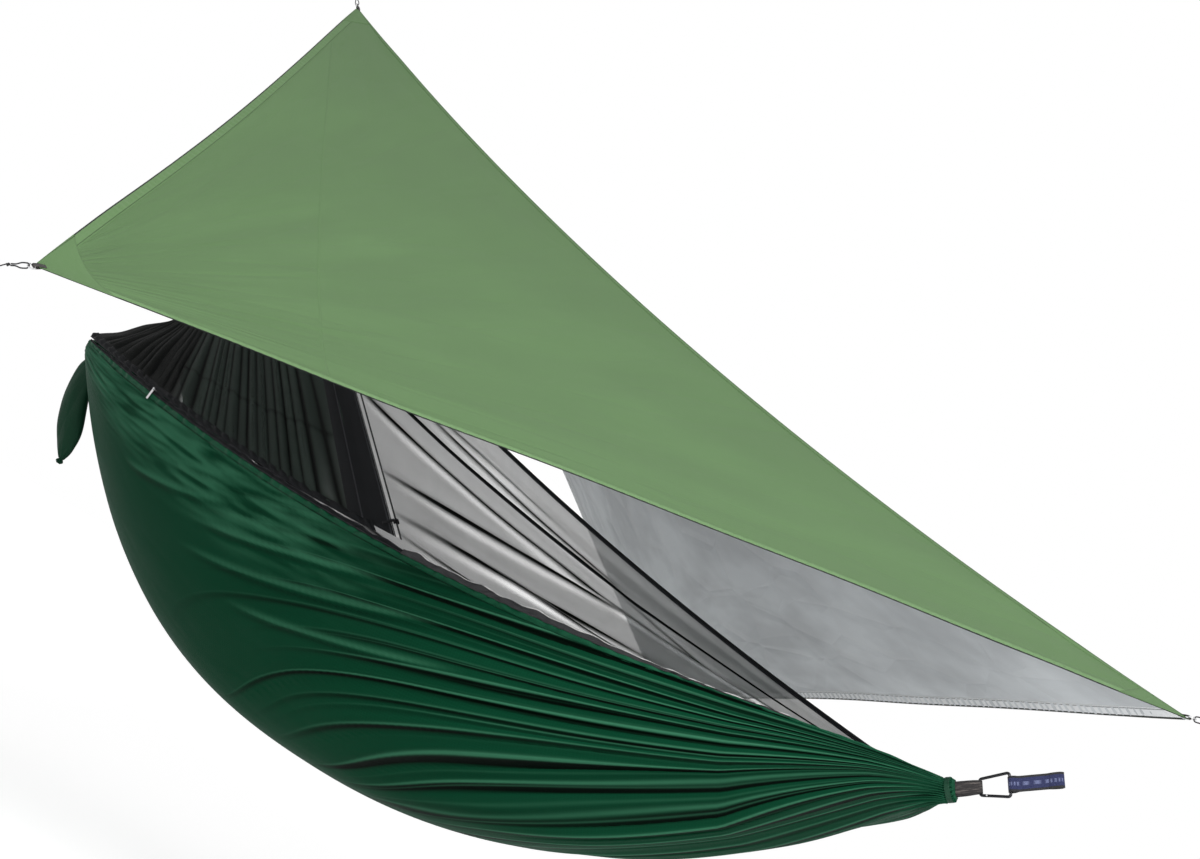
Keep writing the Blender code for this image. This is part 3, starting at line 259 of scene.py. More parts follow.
class Wire:
    """An output on a board of nodes; each sum that it takes part in is one more maths node there."""

    def __init__(self, socket):
        self.socket, self.tree = socket, socket.id_data

    def math(self, operation, *feeds):
        return add(self.tree, "Math", self, *feeds, operation=operation)

    def clamp(self):
        """Keeps the last sum between 0 and 1."""
        self.socket.node.use_clamp = True
        return self

    def __add__(self, other):
        return self.math("ADD", other)

    def __sub__(self, other):
        return self.math("SUBTRACT", other)

    def __rsub__(self, other):
        return add(self.tree, "Math", other, self, operation="SUBTRACT")

    def __mul__(self, other):
        return self.math("MULTIPLY", other)

    def __truediv__(self, other):
        return self.math("DIVIDE", other)

    def __rtruediv__(self, other):
        return add(self.tree, "Math", other, self, operation="DIVIDE")

    def __pow__(self, other):
        return self.math("POWER", other)

    def __gt__(self, other):
        return self.math("GREATER_THAN", other)

    def __lt__(self, other):
        return self.math("LESS_THAN", other)

    def __abs__(self):
        return self.math("ABSOLUTE")


def plug(socket, feed):
    """Feeds a socket with a wire or a value; None leaves it as it is."""
    if isinstance(feed, Wire):
        socket.id_data.links.new(feed.socket, socket)
    elif feed is not None:
        socket.default_value = (*feed, 1)[:4] if socket.type == "RGBA" else feed


def add(tree, kind, *feeds, out=0, **settings):
    """One output of a new shader node whose inputs, in order, take these feeds."""
    made = tree.nodes.new("ShaderNode" + kind)
    for key, value in settings.items():
        setattr(made, key, value)
    for socket, feed in zip(made.inputs, feeds):
        plug(socket, feed)
    return Wire(made.outputs[out])


def tint(share, first, second):
    """A colour between two others."""
    return add(share.tree, "Mix", share, *[None] * 5, first, second, out=2, data_type="RGBA")


def split(place):
    node = add(place.tree, "SeparateXYZ", place).socket.node
    return [Wire(socket) for socket in node.outputs]


def noisy(place, scale, detail, rough):
    return add(place.tree, "TexNoise", place, None, scale, detail, rough)


def swing(half_turns):
    return (half_turns * math.pi).math("SINE")


def pattern(*labels):
    """Turns draw(wires in) into a node group, its inputs under these labels, that any board can use."""

    def taken(draw):
        def on_board(*feeds):
            tree = bpy.data.node_groups.get(draw.__name__) or drawn(draw, labels)
            made = feeds[0].tree.nodes.new("ShaderNodeGroup")
            made.node_tree = tree
            for socket, feed in zip(made.inputs, feeds):
                plug(socket, feed)
            return [Wire(socket) for socket in made.outputs]

        return on_board

    return taken


def drawn(draw, labels):
    """The node group itself: draw gives back the wires of its outputs by label."""
    tree = bpy.data.node_groups.new(draw.__name__, "ShaderNodeTree")
    for label in labels:
        kind = "NodeSocketVector" if label == "Place" else "NodeSocketFloat"
        tree.interface.new_socket(name=label, in_out="INPUT", socket_type=kind)
    entry = tree.nodes.new("NodeGroupInput")
    wires = draw(*[Wire(socket) for socket in entry.outputs if socket.name])
    for label in wires:
        tree.interface.new_socket(name=label, in_out="OUTPUT", socket_type="NodeSocketFloat")
    leave = tree.nodes.new("NodeGroupOutput")
    for label, wire in wires.items():
        plug(leave.inputs[label], wire)
    return tree


@pattern("Place", "Thread", "Square")
def woven_threads(place, thread, square):
    across, along, _ = split(place)
    threads = swing(across / thread) * swing(along / thread) * 0.5 + 0.5
    lines = [abs((each / square).math("FRACT") - 0.5) > 0.42 for each in (across, along)]
    return {"Threads": threads, "Squares": lines[0].math("MAXIMUM", lines[1])}


@pattern("Place", "Across", "Along")
def soft_creases(place, across, along):
    stretch = add(place.tree, "CombineXYZ", across, along, 1.0)
    lie = add(place.tree, "VectorMath", place, stretch, operation="MULTIPLY")
    cells = add(place.tree, "TexVoronoi", lie, None, 1.7, out="Distance", feature="DISTANCE_TO_EDGE")
    folds = cells.math("MINIMUM", 0.18) * 5.5
    return {"Soft": noisy(lie, 1.0, 3.0, 0.55), "Folds": folds, "Broad": noisy(place, 2.3, 2.0, 0.5)}


@pattern("Place", "Line", "Wide", "Step")
def stitched_row(place, line, wide, step):
    across, along, _ = split(place)
    row = 1.0 - (abs(across - line) / wide).clamp()
    swell = swing(((along / step).math("FRACT") / 0.72).clamp())
    return {"Thread": (row > 0.001) * swell, "Groove": row}


@pattern("Place", "Step")
def knitted_net(place, step):
    lines = [(1.0 - abs(swing(each / step)) * 1.7).clamp() for each in split(place)[:2]]
    return {"Threads": lines[0].math("MAXIMUM", lines[1])}


@pattern("Place", "Rib")
def webbing_ribs(place, rib):
    across, along, _ = split(place)
    slant = along / rib * 2.0 + (across / rib).math("PINGPONG", 1.0)
    return {"Ribs": abs(swing(across / rib)) * (abs(swing(slant)) * 0.45 + 0.55)}


@pattern("Place", "Scale")
def rubbed_and_stained(place, scale):
    return {"Rub": noisy(place, scale, 6.0, 0.65) ** 3.0, "Stain": noisy(place, 7.0, 3.0, 0.6)}


@pattern("Turns", "Wide")
def straight_folds(turns, wide):
    number = turns.math("ROUND")
    off = (turns - number) / wide
    crest, valley = ((each * each * -1.0).math("EXPONENT") for each in (off, (off - 3.3) * 0.33))
    luck = add(turns.tree, "TexWhiteNoise", None, number, out="Value", noise_dimensions="1D")
    return {"Crest": crest, "Valley": valley, "Luck": luck}


def shade(hue, factor):
    return tuple(min(c * factor, 1) for c in hue[:3])


def board(name, coordinates="UV"):
    """A new material, and the wire of its piece's own coordinates, where UV is in metres."""
    made = bpy.data.materials.new(name)
    made.use_nodes = True
    return made, add(made.node_tree, "TexCoord", out=coordinates)


def finish(made, base, rough, height, distance, specular=0.5, metallic=0.0, alpha=1.0):
    """Feeds a material's shader, with a bump of that distance, and returns the material."""
    shader = made.node_tree.nodes["Principled BSDF"]
    bump = add(made.node_tree, "Bump", 1.0, distance)
    plug(bump.socket.node.inputs["Height"], height)
    feeds = {
        "Base Color": base, "Roughness": rough, "Normal": bump,
        "Specular IOR Level": specular, "Metallic": metallic, "Alpha": alpha,
    }
    for label, feed in feeds.items():
        plug(shader.inputs[label], feed)
    return made


def thread_pattern(lay):
    sizes = bpy.context.scene.tent_sizes
    return woven_threads(lay, sizes.thread, sizes.square)


def stitches(lay, line, wide):
    return stitched_row(lay, line, wide, bpy.context.scene.tent_sizes.stitch)


def woven_cloth(name, hue, rough, crease, across, along, squares=0.25, painted_sheen=0.0):
    """Thin woven nylon: threads, thicker ripstop threads, soft creases and, when asked, an uneven painted
    sheen, darker where the soft creases sink.
    """
    made, lay = board(name)
    threads, thick = thread_pattern(lay)
    soft, folds, broad = soft_creases(lay, across, along)
    base = tint(broad, shade(hue, 0.84), shade(hue, 1.16))
    if painted_sheen:
        # Painted sheen: the cloth is made darker where its soft creases sink.
        base = tint(((soft - 0.38) * 4.6).clamp(), shade(hue, 1 - painted_sheen), base)
    base = tint(thick * squares, base, shade(hue, 1.45))
    base = tint(threads * 0.18, base, shade(hue, 0.55))
    worn = soft * 0.20 + (rough - 0.10) + threads * 0.05
    height = folds * 0.35 + soft * 1.3 + threads * (0.00012 / crease) + thick * (0.00009 / crease)
    return finish(made, base, worn, height, crease, specular=0.14)


def bed_cloth(name, hue, **woven):
    """The hammock's nylon, with painted light and shade: thin painted highlights on the crests of its folds,
    and painted shade below each.
    """
    made = woven_cloth(name, hue, **woven)
    shader = made.node_tree.nodes["Principled BSDF"]
    bump = shader.inputs["Normal"].links[0].from_node
    base = Wire(shader.inputs["Base Color"].links[0].from_socket)
    height = Wire(bump.inputs["Height"].links[0].from_socket)
    # fold carries the painted light and shade worked out on the cloth: lighter above 0, darker below 0.
    fan, heft, reach, fold = (
        add(made.node_tree, "Attribute", out="Fac", attribute_name=label) for label in bed_labels
    )
    wide = (0.050 / reach).math("MINIMUM", 0.085)
    crest, valley, luck = straight_folds(fan, wide)
    fine_crest, fine_valley, fine_luck = straight_folds(fan * 1.83 + 0.37, wide * 1.2)
    near = ((1.30 - reach) * 1.8).clamp()
    fine = near * fine_luck**2.0 * 0.75
    crest = fine_crest * fine + crest * heft
    valley = fine_valley * fine + valley * heft * (luck * 0.9 + 0.65)
    # Painted light and shade: painted shade in each valley and where fold is below 0, and a painted highlight
    # where fold is above 0 and on each crest.
    painted_highlight = tuple(mix(3.0 * c, 0.30, 0.10) for c in hue)
    base = tint((valley * 1.20).clamp(), base, shade(hue, 0.05))
    base = tint((fold * -0.80).clamp(), base, shade(hue, 0.18))
    base = tint((fold * 0.95).clamp(), base, painted_highlight)
    base = tint((crest * (near * 0.75 + 0.40)).clamp(), base, painted_highlight)
    plug(shader.inputs["Base Color"], base)
    plug(bump.inputs["Height"], height + crest * 0.45 + valley * -0.30)
    plug(shader.inputs["Specular IOR Level"], 0.02)
    return made


def sewn_cloth(name, hue, rough, lines, wide, thread, bound=0.0):
    """A hem or patch: the cloth's weave, stitched rows at these distances from one edge, and a bound edge."""
    made, lay = board(name)
    threads, thick = thread_pattern(lay)
    soft, _, broad = soft_creases(lay, 40.0, 55.0)
    base = tint(broad, shade(hue, 0.88), shade(hue, 1.12))
    base = tint(thick * 0.2, base, shade(hue, 1.4))
    height = soft * 0.9 + threads * 0.12
    for line_at in lines:
        sewn, groove = stitches(lay, line_at, wide)
        # Painted shade along each stitched row's groove.
        base = tint(groove * 0.5, base, shade(hue, 0.5))
        base = tint(sewn, base, shade(hue, thread))
        height = height - groove * 0.8 + sewn * 1.2
    if bound:
        base = tint(split(lay)[0] < bound, base, (0.012, 0.016, 0.013))
    return finish(made, base, soft * 0.22 + (rough - 0.1), height, 0.0012, specular=0.14)


def net_cloth(name, hue, thin, thick, bunched):
    """Knitted net: threads round open holes, closing where layers of it are bunched, and darker there with
    painted shade.
    """
    made, lay = board(name)
    scene = bpy.context.scene
    threads = knitted_net(lay, scene.tent_sizes.mesh)[0]
    soft = soft_creases(lay, 7.0, 4.0)[0]
    layers = add(lay.tree, "Attribute", out="Fac", attribute_name="layers")
    base = tint(soft, shade(hue, 0.7), shade(hue, 1.5))
    # Painted shade where layers of net bunch: towards a darker copy of the gathered net's colour.
    base = tint(((layers - 1.4) * 0.5).clamp(), base, shade(scene.tent_colours.net, bunched))
    shut = threads * (thick - thin) + thin + (soft * 0.10 - 0.05)
    alpha = (1.0 - (1.0 - shut).clamp() ** layers).clamp()
    return finish(made, base, soft * 0.2 + 0.66, threads * 0.5 + soft, 0.0006, specular=0.08, alpha=alpha)


def band_tape(name, hue, lines):
    """Stiff woven tape with fine ribs across it and stitched rows."""
    made, lay = board(name)
    ribs = webbing_ribs(lay, bpy.context.scene.tent_sizes.rib * 0.6)[0]
    rub, stain = rubbed_and_stained(lay, 260.0)
    base = tint(stain, shade(hue, 0.75), shade(hue, 1.35))
    base = tint(ribs * 0.3, base, shade(hue, 1.9))
    height = stain * 1.5 + ribs * 0.35
    for line_at in lines:
        sewn, groove = stitches(lay, line_at, 0.0009)
        base = tint(sewn * 0.8, base, (0.1, 0.1, 0.11))
        height = height - groove * 0.5 + sewn * 0.8
    return finish(made, base, rub * 0.3 + 0.72, height, 0.0008, specular=0.10)


def zip_cloth(name, hue, coil_at, coil_share):
    """Zip tape: pale woven tape, and a dark coil at a share of its width."""
    made, lay = board(name)
    wide = 0.0135
    threads = thread_pattern(lay)[0]
    rub, stain = rubbed_and_stained(lay, 300.0)
    base = tint(stain, shade(hue, 0.7), shade(hue, 1.2))
    base = tint(threads * 0.3, base, shade(hue, 0.5))
    coil, groove = stitched_row(lay, wide * coil_at, wide * coil_share, 0.0020)
    solid = groove > 0.02
    base = tint(solid, base, (0.012, 0.012, 0.014))
    base = tint(coil * 0.2, base, (0.08, 0.08, 0.085))
    edge = stitches(lay, wide * (1 - coil_at), 0.0019)[1]
    base = tint(edge > 0.02, base, (0.014, 0.014, 0.016))
    return finish(made, base, rub * 0.3 + 0.55, coil + threads * 0.15 + solid * 0.6, 0.0009)


def webbing(name, hue, wide, edge=None, dash=None, streak=0.0):
    """Woven webbing: slanted ribs, darker selvedges, and a dashed centre line where there is one."""
    made, lay = board(name)
    ribs = webbing_ribs(lay, bpy.context.scene.tent_sizes.rib)[0]
    rub, stain = rubbed_and_stained(lay, 500.0)
    base = tint(stain, shade(hue, 0.7), shade(hue, 1.3))
    base = tint(ribs * 0.45, base, shade(hue, 2.2))
    if streak:
        lie = add(lay.tree, "VectorMath", lay, (420.0, 40.0, 1.0), operation="MULTIPLY")
        lines = ((noisy(lie, 1.0, 2.0, 0.5) - 0.5).clamp() * 6.0).clamp()
        base = tint(lines * streak, base, (0.150, 0.130, 0.120))
    base = tint(abs(split(lay)[0] - wide / 2) > wide * 0.36, base, edge or shade(hue, 0.6))
    height = ribs + rub * 0.5
    if dash:
        sewn = stitched_row(lay, wide / 2, wide * 0.12, 0.0080)[0]
        base = tint(sewn, base, dash)
        height = height + sewn * 0.7
    return finish(made, base, rub * 0.3 + 0.62, height, 0.0005)


def braided_cord(name, hue):
    """Braided cord: two slanting strands and a little fuzz, on the cord's own length."""
    made, place = board(name, "Object")
    braid = add(
        place.tree, "TexWave", place, 900.0, 3.0, 2.0, 1.0,
        out="Fac", wave_type="BANDS", bands_direction="DIAGONAL",
    )
    rub = rubbed_and_stained(place, 900.0)[0]
    base = tint(braid, shade(hue, 0.55), shade(hue, 1.9))
    base = tint(rub * 0.6, base, shade(hue, 3.5))
    return finish(made, base, rub * 0.3 + 0.62, rub * 0.4 + braid, 0.0003)


def metal(name, hue, metallic, rough, chip=None):
    """Steel with fine rubbing marks; chip is the bare colour that shows where a coating has worn."""
    made, place = board(name, "Object")
    rub, stain = rubbed_and_stained(place, 330.0)
    base = tint(stain, shade(hue, 0.82), shade(hue, 1.12))
    if chip:
        base = tint((rub > 0.34) * 0.8, base, chip)
    height = noisy(place, 1400.0, 2.0, 0.6) * 0.3 + rub
    return finish(made, base, rub * 0.5 + rough, height, 0.00012, metallic=metallic)


# Each finish: its maker, its colour, how many times lighter it is than that, and what the maker is told. A
# thread's lightness is measured against the finish.
finishes = {
    "hammock_nylon": (bed_cloth, "bed", 1, {"rough": 0.50, "crease": 0.0012, "across": 7.0, "along": 2.5}),
    "sack_nylon": (woven_cloth, "sack", 1, {"rough": 0.55, "crease": 0.0020, "across": 14.0, "along": 9.0}),
    "fly_ripstop": (woven_cloth, "fly", 1, {
        "rough": 0.55, "crease": 0.0040, "across": 3.4, "along": 2.0, "squares": 0.10, "painted_sheen": 0.10,
    }),
    "fly_silver_coat": (woven_cloth, "lining", 1, {
        "rough": 0.36, "crease": 0.0090, "across": 2.4, "along": 5.0, "squares": 0.04, "painted_sheen": 0.26,
    }),
    "fly_hem_pale": (sewn_cloth, "fly", 1.30, {
        "rough": 0.55, "lines": (0.0190,), "wide": 0.0009, "thread": 0.80 / 1.30, "bound": 0.0026,
    }),
    "fly_hem_ripstop": (sewn_cloth, "fly", 1, {
        "rough": 0.55, "lines": (0.0190,), "wide": 0.0009, "thread": 0.80, "bound": 0.0026,
    }),
    "fly_hem_silver": (sewn_cloth, "lining", 1.15, {
        "rough": 0.5, "lines": (0.0185,), "wide": 0.0012, "thread": 0.2 / 1.15, "bound": 0.0040,
    }),
    "fly_patch_ripstop": (sewn_cloth, "patch", 1, {
        "rough": 0.6, "lines": (0.005,), "wide": 0.0010, "thread": 0.6,
    }),
    "fly_ridge_ripstop": (sewn_cloth, "patch", 1, {
        "rough": 0.6, "lines": (0.002, 0.0105, 0.0155, 0.024), "wide": 0.0009, "thread": 0.4,
    }),
    "rim_hem_cloth": (sewn_cloth, "bed", 1.5, {
        "rough": 0.55, "lines": (0.0030,), "wide": 0.0009, "thread": 0.4 / 1.5,
    }),
    # net_taut takes the taut net's painted-light colour; bunched sets how dark the painted shade in each
    # net's bunched layers is.
    "net_taut": (net_cloth, "taut", 1, {"thin": 0.70, "thick": 0.95, "bunched": 0.25}),
    "net_gathered": (net_cloth, "net", 2.1, {"thin": 0.76, "thick": 0.96, "bunched": 0.15}),
    "net_tape": (band_tape, "trim", 1, {"lines": (0.0022, 0.0095)}),
    "door_band_cloth": (band_tape, "trim", 1.15, {"lines": (0.0025, 0.0300)}),
    "rim_zip_open": (zip_cloth, "zip", 1, {"coil_at": 0.30, "coil_share": 0.62}),
    "door_zip_half": (zip_cloth, "zip", 1, {"coil_at": 0.14, "coil_share": 0.13}),
    "webbing_dark": (webbing, "webbing", 1, {"wide": loop_width, "streak": 0.8}),
    "webbing_navy": (webbing, "strap", 1, {
        "wide": strap_width, "edge": (0.010, 0.010, 0.012), "dash": (0.14, 0.16, 0.30),
    }),
    "cord_sheath": (braided_cord, "cord", 1, {}),
    "whipping_cord": (braided_cord, "bed", 0.8, {}),
    "steel_bright": (metal, "steel", 1, {"metallic": 1.0, "rough": 0.22}),
    "steel_black": (metal, "coating", 1, {"metallic": 0.9, "rough": 0.26, "chip": (0.30, 0.30, 0.31)}),
}


def material(name):
    """The finish of that name, made the first time it is asked for."""
    make, hue, lighter, told = finishes[name]
    hue = shade(getattr(bpy.context.scene.tent_colours, hue), lighter)
    return bpy.data.materials.get(name) or make(name, hue, **told)


# Meshes


def show(name, data, *names):
    """Puts a mesh or a curve into the scene, in the finishes of these names."""
    made = bpy.data.objects.new(name, data)
    bpy.context.scene.collection.objects.link(made)
    for each in names:
        data.materials.append(material(each))
    return made


def smooth_mesh(name, bm):
    mesh = bpy.data.meshes.new(name)
    bm.to_mesh(mesh)
    bm.free()
    mesh.shade_smooth()
    return mesh


def cloth(
    name, across, along, place, size, *names,
    wall=0.0, offset=0, flip=False, joined=False, filled=False, outward=False, marked=None,
):
    """A sheet through place(s, t), with its UV in metres; a second finish is its inner face.

    wall is its thickness, and offset the side that it grows to. joined sews its edges where they meet, filled
    closes its ends, outward turns its faces out, and flip turns them over. marked gives the names of the
    attributes that the finish reads, and the amounts(s, t) that they have.
    """
    bm = bmesh.new()
    labels, amounts = marked or ((), lambda s, t: ())
    for label in labels:
        bm.verts.layers.float.new(label)
    marks = [bm.verts.layers.float[label] for label in labels]
    lay = bm.loops.layers.uv.verify()
    bmesh.ops.create_grid(bm, x_segments=across, y_segments=along, size=0.5)
    for face in bm.faces:
        for loop in face.loops:
            loop[lay].uv = ((loop.vert.co.x + 0.5) * size[0], (loop.vert.co.y + 0.5) * size[1])
    for vert in bm.verts:
        s, t = vert.co.x + 0.5, vert.co.y + 0.5
        for mark, amount in zip(marks, amounts(s, t)):
            vert[mark] = amount
        vert.co = place(s, t)
    if joined:
        bmesh.ops.remove_doubles(bm, verts=bm.verts, dist=1e-6)
    if filled:
        rims = [edge for edge in bm.edges if edge.is_boundary]
        if rims:
            bmesh.ops.holes_fill(bm, edges=rims, sides=0)
    if outward:
        bmesh.ops.recalc_face_normals(bm, faces=bm.faces)
    if flip:
        bmesh.ops.reverse_faces(bm, faces=bm.faces)
    made = show(name, smooth_mesh(name, bm), *names)
    if wall:
        solid = made.modifiers.new("wall", "SOLIDIFY")
        solid.thickness, solid.offset, solid.material_offset = wall, offset, len(names) - 1
    return made


def tube(name, round_it, along, place, size, finish_name):
    """A closed skin through place(turn, t), turn from 0 to 1 round it, with both ends closed."""
    return cloth(
        name, round_it, along, lambda s, t: place(s % 1, t), size, finish_name,
        joined=True, filled=True, outward=True,
    )


def cord_curve(name, points, radius, finish_name, closed=False, detail=4):
    """A round cord along the points, as a curve."""
    curve = bpy.data.curves.new(name, "CURVE")
    curve.dimensions, curve.bevel_depth, curve.bevel_resolution = "3D", radius, detail
    curve.use_fill_caps = not closed
    spline = curve.splines.new("POLY")
    spline.points.add(len(points) - 1)
    for knot, point in zip(spline.points, points):
        knot.co = (*point, 1)
    spline.use_cyclic_u = closed
    return show(name, curve, finish_name)


def cord_mesh(*asked, **settings):
    """The same cord as a mesh."""
    made = cord_curve(*asked, **settings)
    mesh = bpy.data.meshes.new_from_object(made.evaluated_get(bpy.context.evaluated_depsgraph_get()))
    name = made.name
    bpy.data.objects.remove(made, do_unlink=True)
    mesh.shade_smooth()
    return show(name, mesh)


def curve_path(points, steps):
    """A smooth curve through the points, with that many steps between each two."""
    rows = [list(point) for point in points]
    return [Vector(catmull(rows, q)) for q in spaced(0, 1, (len(rows) - 1) * steps)]


def belt(at, run, radius, start, along, out):
    """A point of a webbing loop, at a distance round it: up its out side from the start, and back down."""
    half = run + math.pi * radius
    if at % (2 * half) >= half:
        start, along, out = start + along * run, -along, -out
    at %= half
    if at < run:
        return start + along * at + out * radius
    return start + along * run + radius * around(out, along, (at - run) / radius)


def settle(made, body, slot, *nodes):
    """Puts a finished piece on its body in place of these CAD nodes."""
    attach(made, body)
    if nodes:
        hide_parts(*nodes)
    return made


def repaint(finish_name, *nodes):
    for node in nodes:
        mesh = frame["nodes"][node].data
        mesh.materials.clear()
        mesh.materials.append(material(finish_name))


# The hammock's own shape


def neck_frame(x):
    if x < 0:
        return head_neck, head_line, head_up
    return foot_neck, foot_line, foot_up


def neck_share(x):
    """1 where the cloth is fully gathered, falling to 0 one blend length away."""
    end, out, _ = neck_frame(x)
    return 1 - smooth(abs(x - (end - out * neck_length - centre).x) / neck_blend)


def neck_point(x, theta, swell=0.0):
    end, out, up = neck_frame(x)
    return end - out * neck_length + (neck_radius + swell) * around(-up, Y_AXIS, theta * neck_wrap)


def rim_model(x, side):
    t = x / foot_reach
    opened = max(1 - t * t, 0)
    half = rim_half_width * opened**rim_blunt * (1 + rim_lean * t)
    drop = rim_drop * opened**rim_drop_power * (1 + drop_lean * t)
    return middle(x, side * half, -drop)


def rim(x, side, above=0.0):
    """The top edge of the hem at x, or a point that much above it."""
    return mix(rim_model(x, side), neck_point(x, side), neck_share(x)) + Z_AXIS * above


# Short creases under the near rim: start and end as shares of the half length and of the girth, and height
rim_creases = (
    ((-0.53, -0.755), (-0.28, -0.862), 0.0065),
    ((-0.39, -0.885), (-0.28, -0.905), 0.0055),
    ((-0.27, -0.795), (0.10, -0.915), 0.0060),
    ((-0.27, -0.695), (0.24, -0.875), 0.0045),
    ((-0.47, -0.945), (-0.30, -0.950), 0.0050),
    ((-0.20, -0.935), (0.05, -0.960), 0.0045),
    ((-0.62, -0.950), (-0.50, -0.975), 0.0045),
    ((-0.12, -0.640), (0.30, -0.770), 0.0040),
)
folds_per_degree = 0.50
fold_share = 0.21


def pinched(turns):
    """The number of the nearest narrow fold, and how near its crest and the valley below it are."""
    number = round(turns)
    off = (turns - number) / fold_share
    return number, bell(off), bell((off - 1.7) * 0.9)


def bed_bottom(t):
    return -sag * (1 - abs(t) ** sag_power) * (1 + sag_lean * t)


def fan_turns(t, theta, x, z):
    """The number of the long fold at a place: folds run straight from the foot gather and cross below."""
    lean = mix(0.77, 1.0, min(max(t, 0) / 0.75, 1) ** 1.5)
    angle = math.degrees(math.atan2(-z, foot_reach - x))
    if theta > 0:
        angle = 2 * math.degrees(math.atan2(-bed_bottom(t), foot_reach - x)) - angle
    angle = angle / lean + 18 * theta * bell(theta / 0.35)
    sway = 0.60 * uneven(angle * 0.21, t * 0.9, 2.0) + 0.22 * uneven(angle * 0.5, t * 2.6, 4.0)
    return folds_per_degree * angle + sway


def crease(t, theta, start, end):
    """How near a short crease is, and the shaded side below it."""
    run = (end[0] - start[0], end[1] - start[1])
    share = ((t - start[0]) * run[0] + (theta - start[1]) * run[1]) / (run[0] ** 2 + run[1] ** 2)
    ends = smooth((share + 0.15) / 0.35) * smooth((1.15 - share) / 0.35)
    off = (theta - mix(start[1], end[1], share)) / 0.0085
    return bell(off) * ends, bell(off - 1.8) * ends


def long_folds(t, theta, x, z):
    """How far the bed's cloth stands out, its fold's number and strength, and the painted light and shade of
    its short creases and rumples.
    """
    sizes = bpy.context.scene.tent_sizes
    opened = max(1 - t * t, 0) ** 0.5
    turns = fan_turns(t, theta, x, z)
    number, crest, valley = pinched(turns)
    heft = min(max(0.85 + 1.35 * uneven(number * 1.37, t * 1.1, 2.0), 0.12), 1.35)
    heft *= smooth((t + 0.22 - 0.60 * uneven(number * 2.71, 2.0, 5.0)) / 0.50)
    heft *= mix(smooth((abs(theta) - 0.08) / 0.34), 1, smooth((t - 0.05) / 0.30))
    under = mix(smooth((abs(theta) - 0.10) / 0.40), 1, smooth((t - 0.35) / 0.30))
    long = mix(0.12, 1, smooth((t + 0.55) / 1.30)) * math.sin(2 * math.pi * turns / 4.3)
    out = sizes.fold * long * opened * under
    out += sizes.pinch * heft * under * (crest - 0.5 * valley) * min((foot_reach - x) / 0.55, 1)
    painted_shading = 0.0
    for start, end, height in rim_creases:
        crest, valley = crease(t, -abs(theta), start, end)
        out += height * crest * opened
        # Painted highlight on each short crease, and painted shade just below it.
        painted_shading += 0.9 * crest - 0.8 * valley
    edge = smooth((abs(theta) - 0.73) / 0.20) * smooth((0.25 - t) / 0.45) * opened
    rumple = 0.8 * uneven(x * 6, theta * 46 + x * 6, 1.0) + 0.5 * uneven(x * 14, theta * 84 + x * 13, 2.0)
    out += edge * (0.0052 * rumple + 0.0050)
    # Painted light in the band below the rim: lighter overall, streaked lighter and darker by the rumples.
    painted_shading += edge * (0.70 + 1.7 * rumple)
    out += 0.0050 * uneven(theta * 3.2, t * 2.4, 5.0) * opened
    return out, turns, heft, max(min(painted_shading, 1), -1)


def bed_turn(t_share):
    """The bed's place along its length, and whether that is in a gathered tail."""
    if t_share < tail_share or t_share > 1 - tail_share:
        return (-1 if t_share < tail_share else 1), True
    share = (t_share - tail_share) / (1 - 2 * tail_share)
    return mix(bed_head_x, bed_foot_x, (1 - math.cos(math.pi * share)) / 2), False


def bed_plain(x, theta):
    """The bed before its folds: how far sideways and how high it is, at a share of its girth."""
    edge = rim_model(x, FAR if theta > 0 else NEAR) - Z_AXIS * hem_width * rim_reach(x) - centre
    turn = theta * math.pi / 2
    fullness = 1 + 2 * belly * math.cos(turn) ** 2 * abs(math.sin(turn))
    z = mix(bed_bottom(x / foot_reach), edge.z, 1 - math.cos(turn))
    return abs(edge.y) * math.sin(turn) * fullness, z


def pleat_wave(theta):
    return math.cos(2 * math.pi * neck_pleats * (theta + 1))


def bed_marks(s, t_share):
    """What the bed's finish reads, in the order of its labels."""
    x, tail = bed_turn(t_share)
    theta = 2 * s - 1
    # pleat is painted light and shade on the gathered pleats: lighter on each pleat, darker between them.
    pleat = 0.5 * pleat_wave(theta)
    if tail:
        return 0.0, 0.0, 1.0, pleat
    gathered = neck_share(x)
    _, turns, heft, painted_shading = long_folds(x / foot_reach, theta, x, bed_plain(x, theta)[1])
    return turns, heft * (1 - gathered), foot_reach - x, mix(painted_shading, pleat, gathered)


def bed_point(s, t_share):
    """The bed at s from its near hem to its far hem, and t from the head gather to the foot gather."""
    theta = 2 * s - 1
    pleats = 0.0022 * pleat_wave(theta)
    x, tail = bed_turn(t_share)
    if tail:
        out = neck_frame(x)[1]
        return neck_point(x, theta, pleats) + out * neck_length * (1 - min(t_share, 1 - t_share) / tail_share)
    y, z = bed_plain(x, theta)
    out = around(-Z_AXIS, Y_AXIS, theta * math.pi / 2)
    point = middle(x, y, z) + out * long_folds(x / foot_reach, theta, x, z)[0]
    side = math.copysign(1, theta)
    if abs(theta) > 0.85:
        point += Y_AXIS * math.copysign(rim_wave(x, side), side) * (abs(theta) - 0.85) / 0.15
    return mix(point, neck_point(x, theta, pleats * 1.6), neck_share(x))


def rim_reach(x):
    """How much of its width a strip on the rim shows: less near the ends, where the cloth curls over it."""
    curl = 0.80 * smooth((x - 0.50) / 0.45)
    return (1 - neck_share(x)) * (1 - curl) * mix(0.35, 1, smooth((x + 1.15) / 0.30))


def rim_wave(x, side):
    """How the rim wanders from its fair line, in and out."""
    return 0.0032 * uneven(x * 7, side * 2.0, 2.0) + 0.0026 * uneven(x * 26, side * 2.0, 6.0)


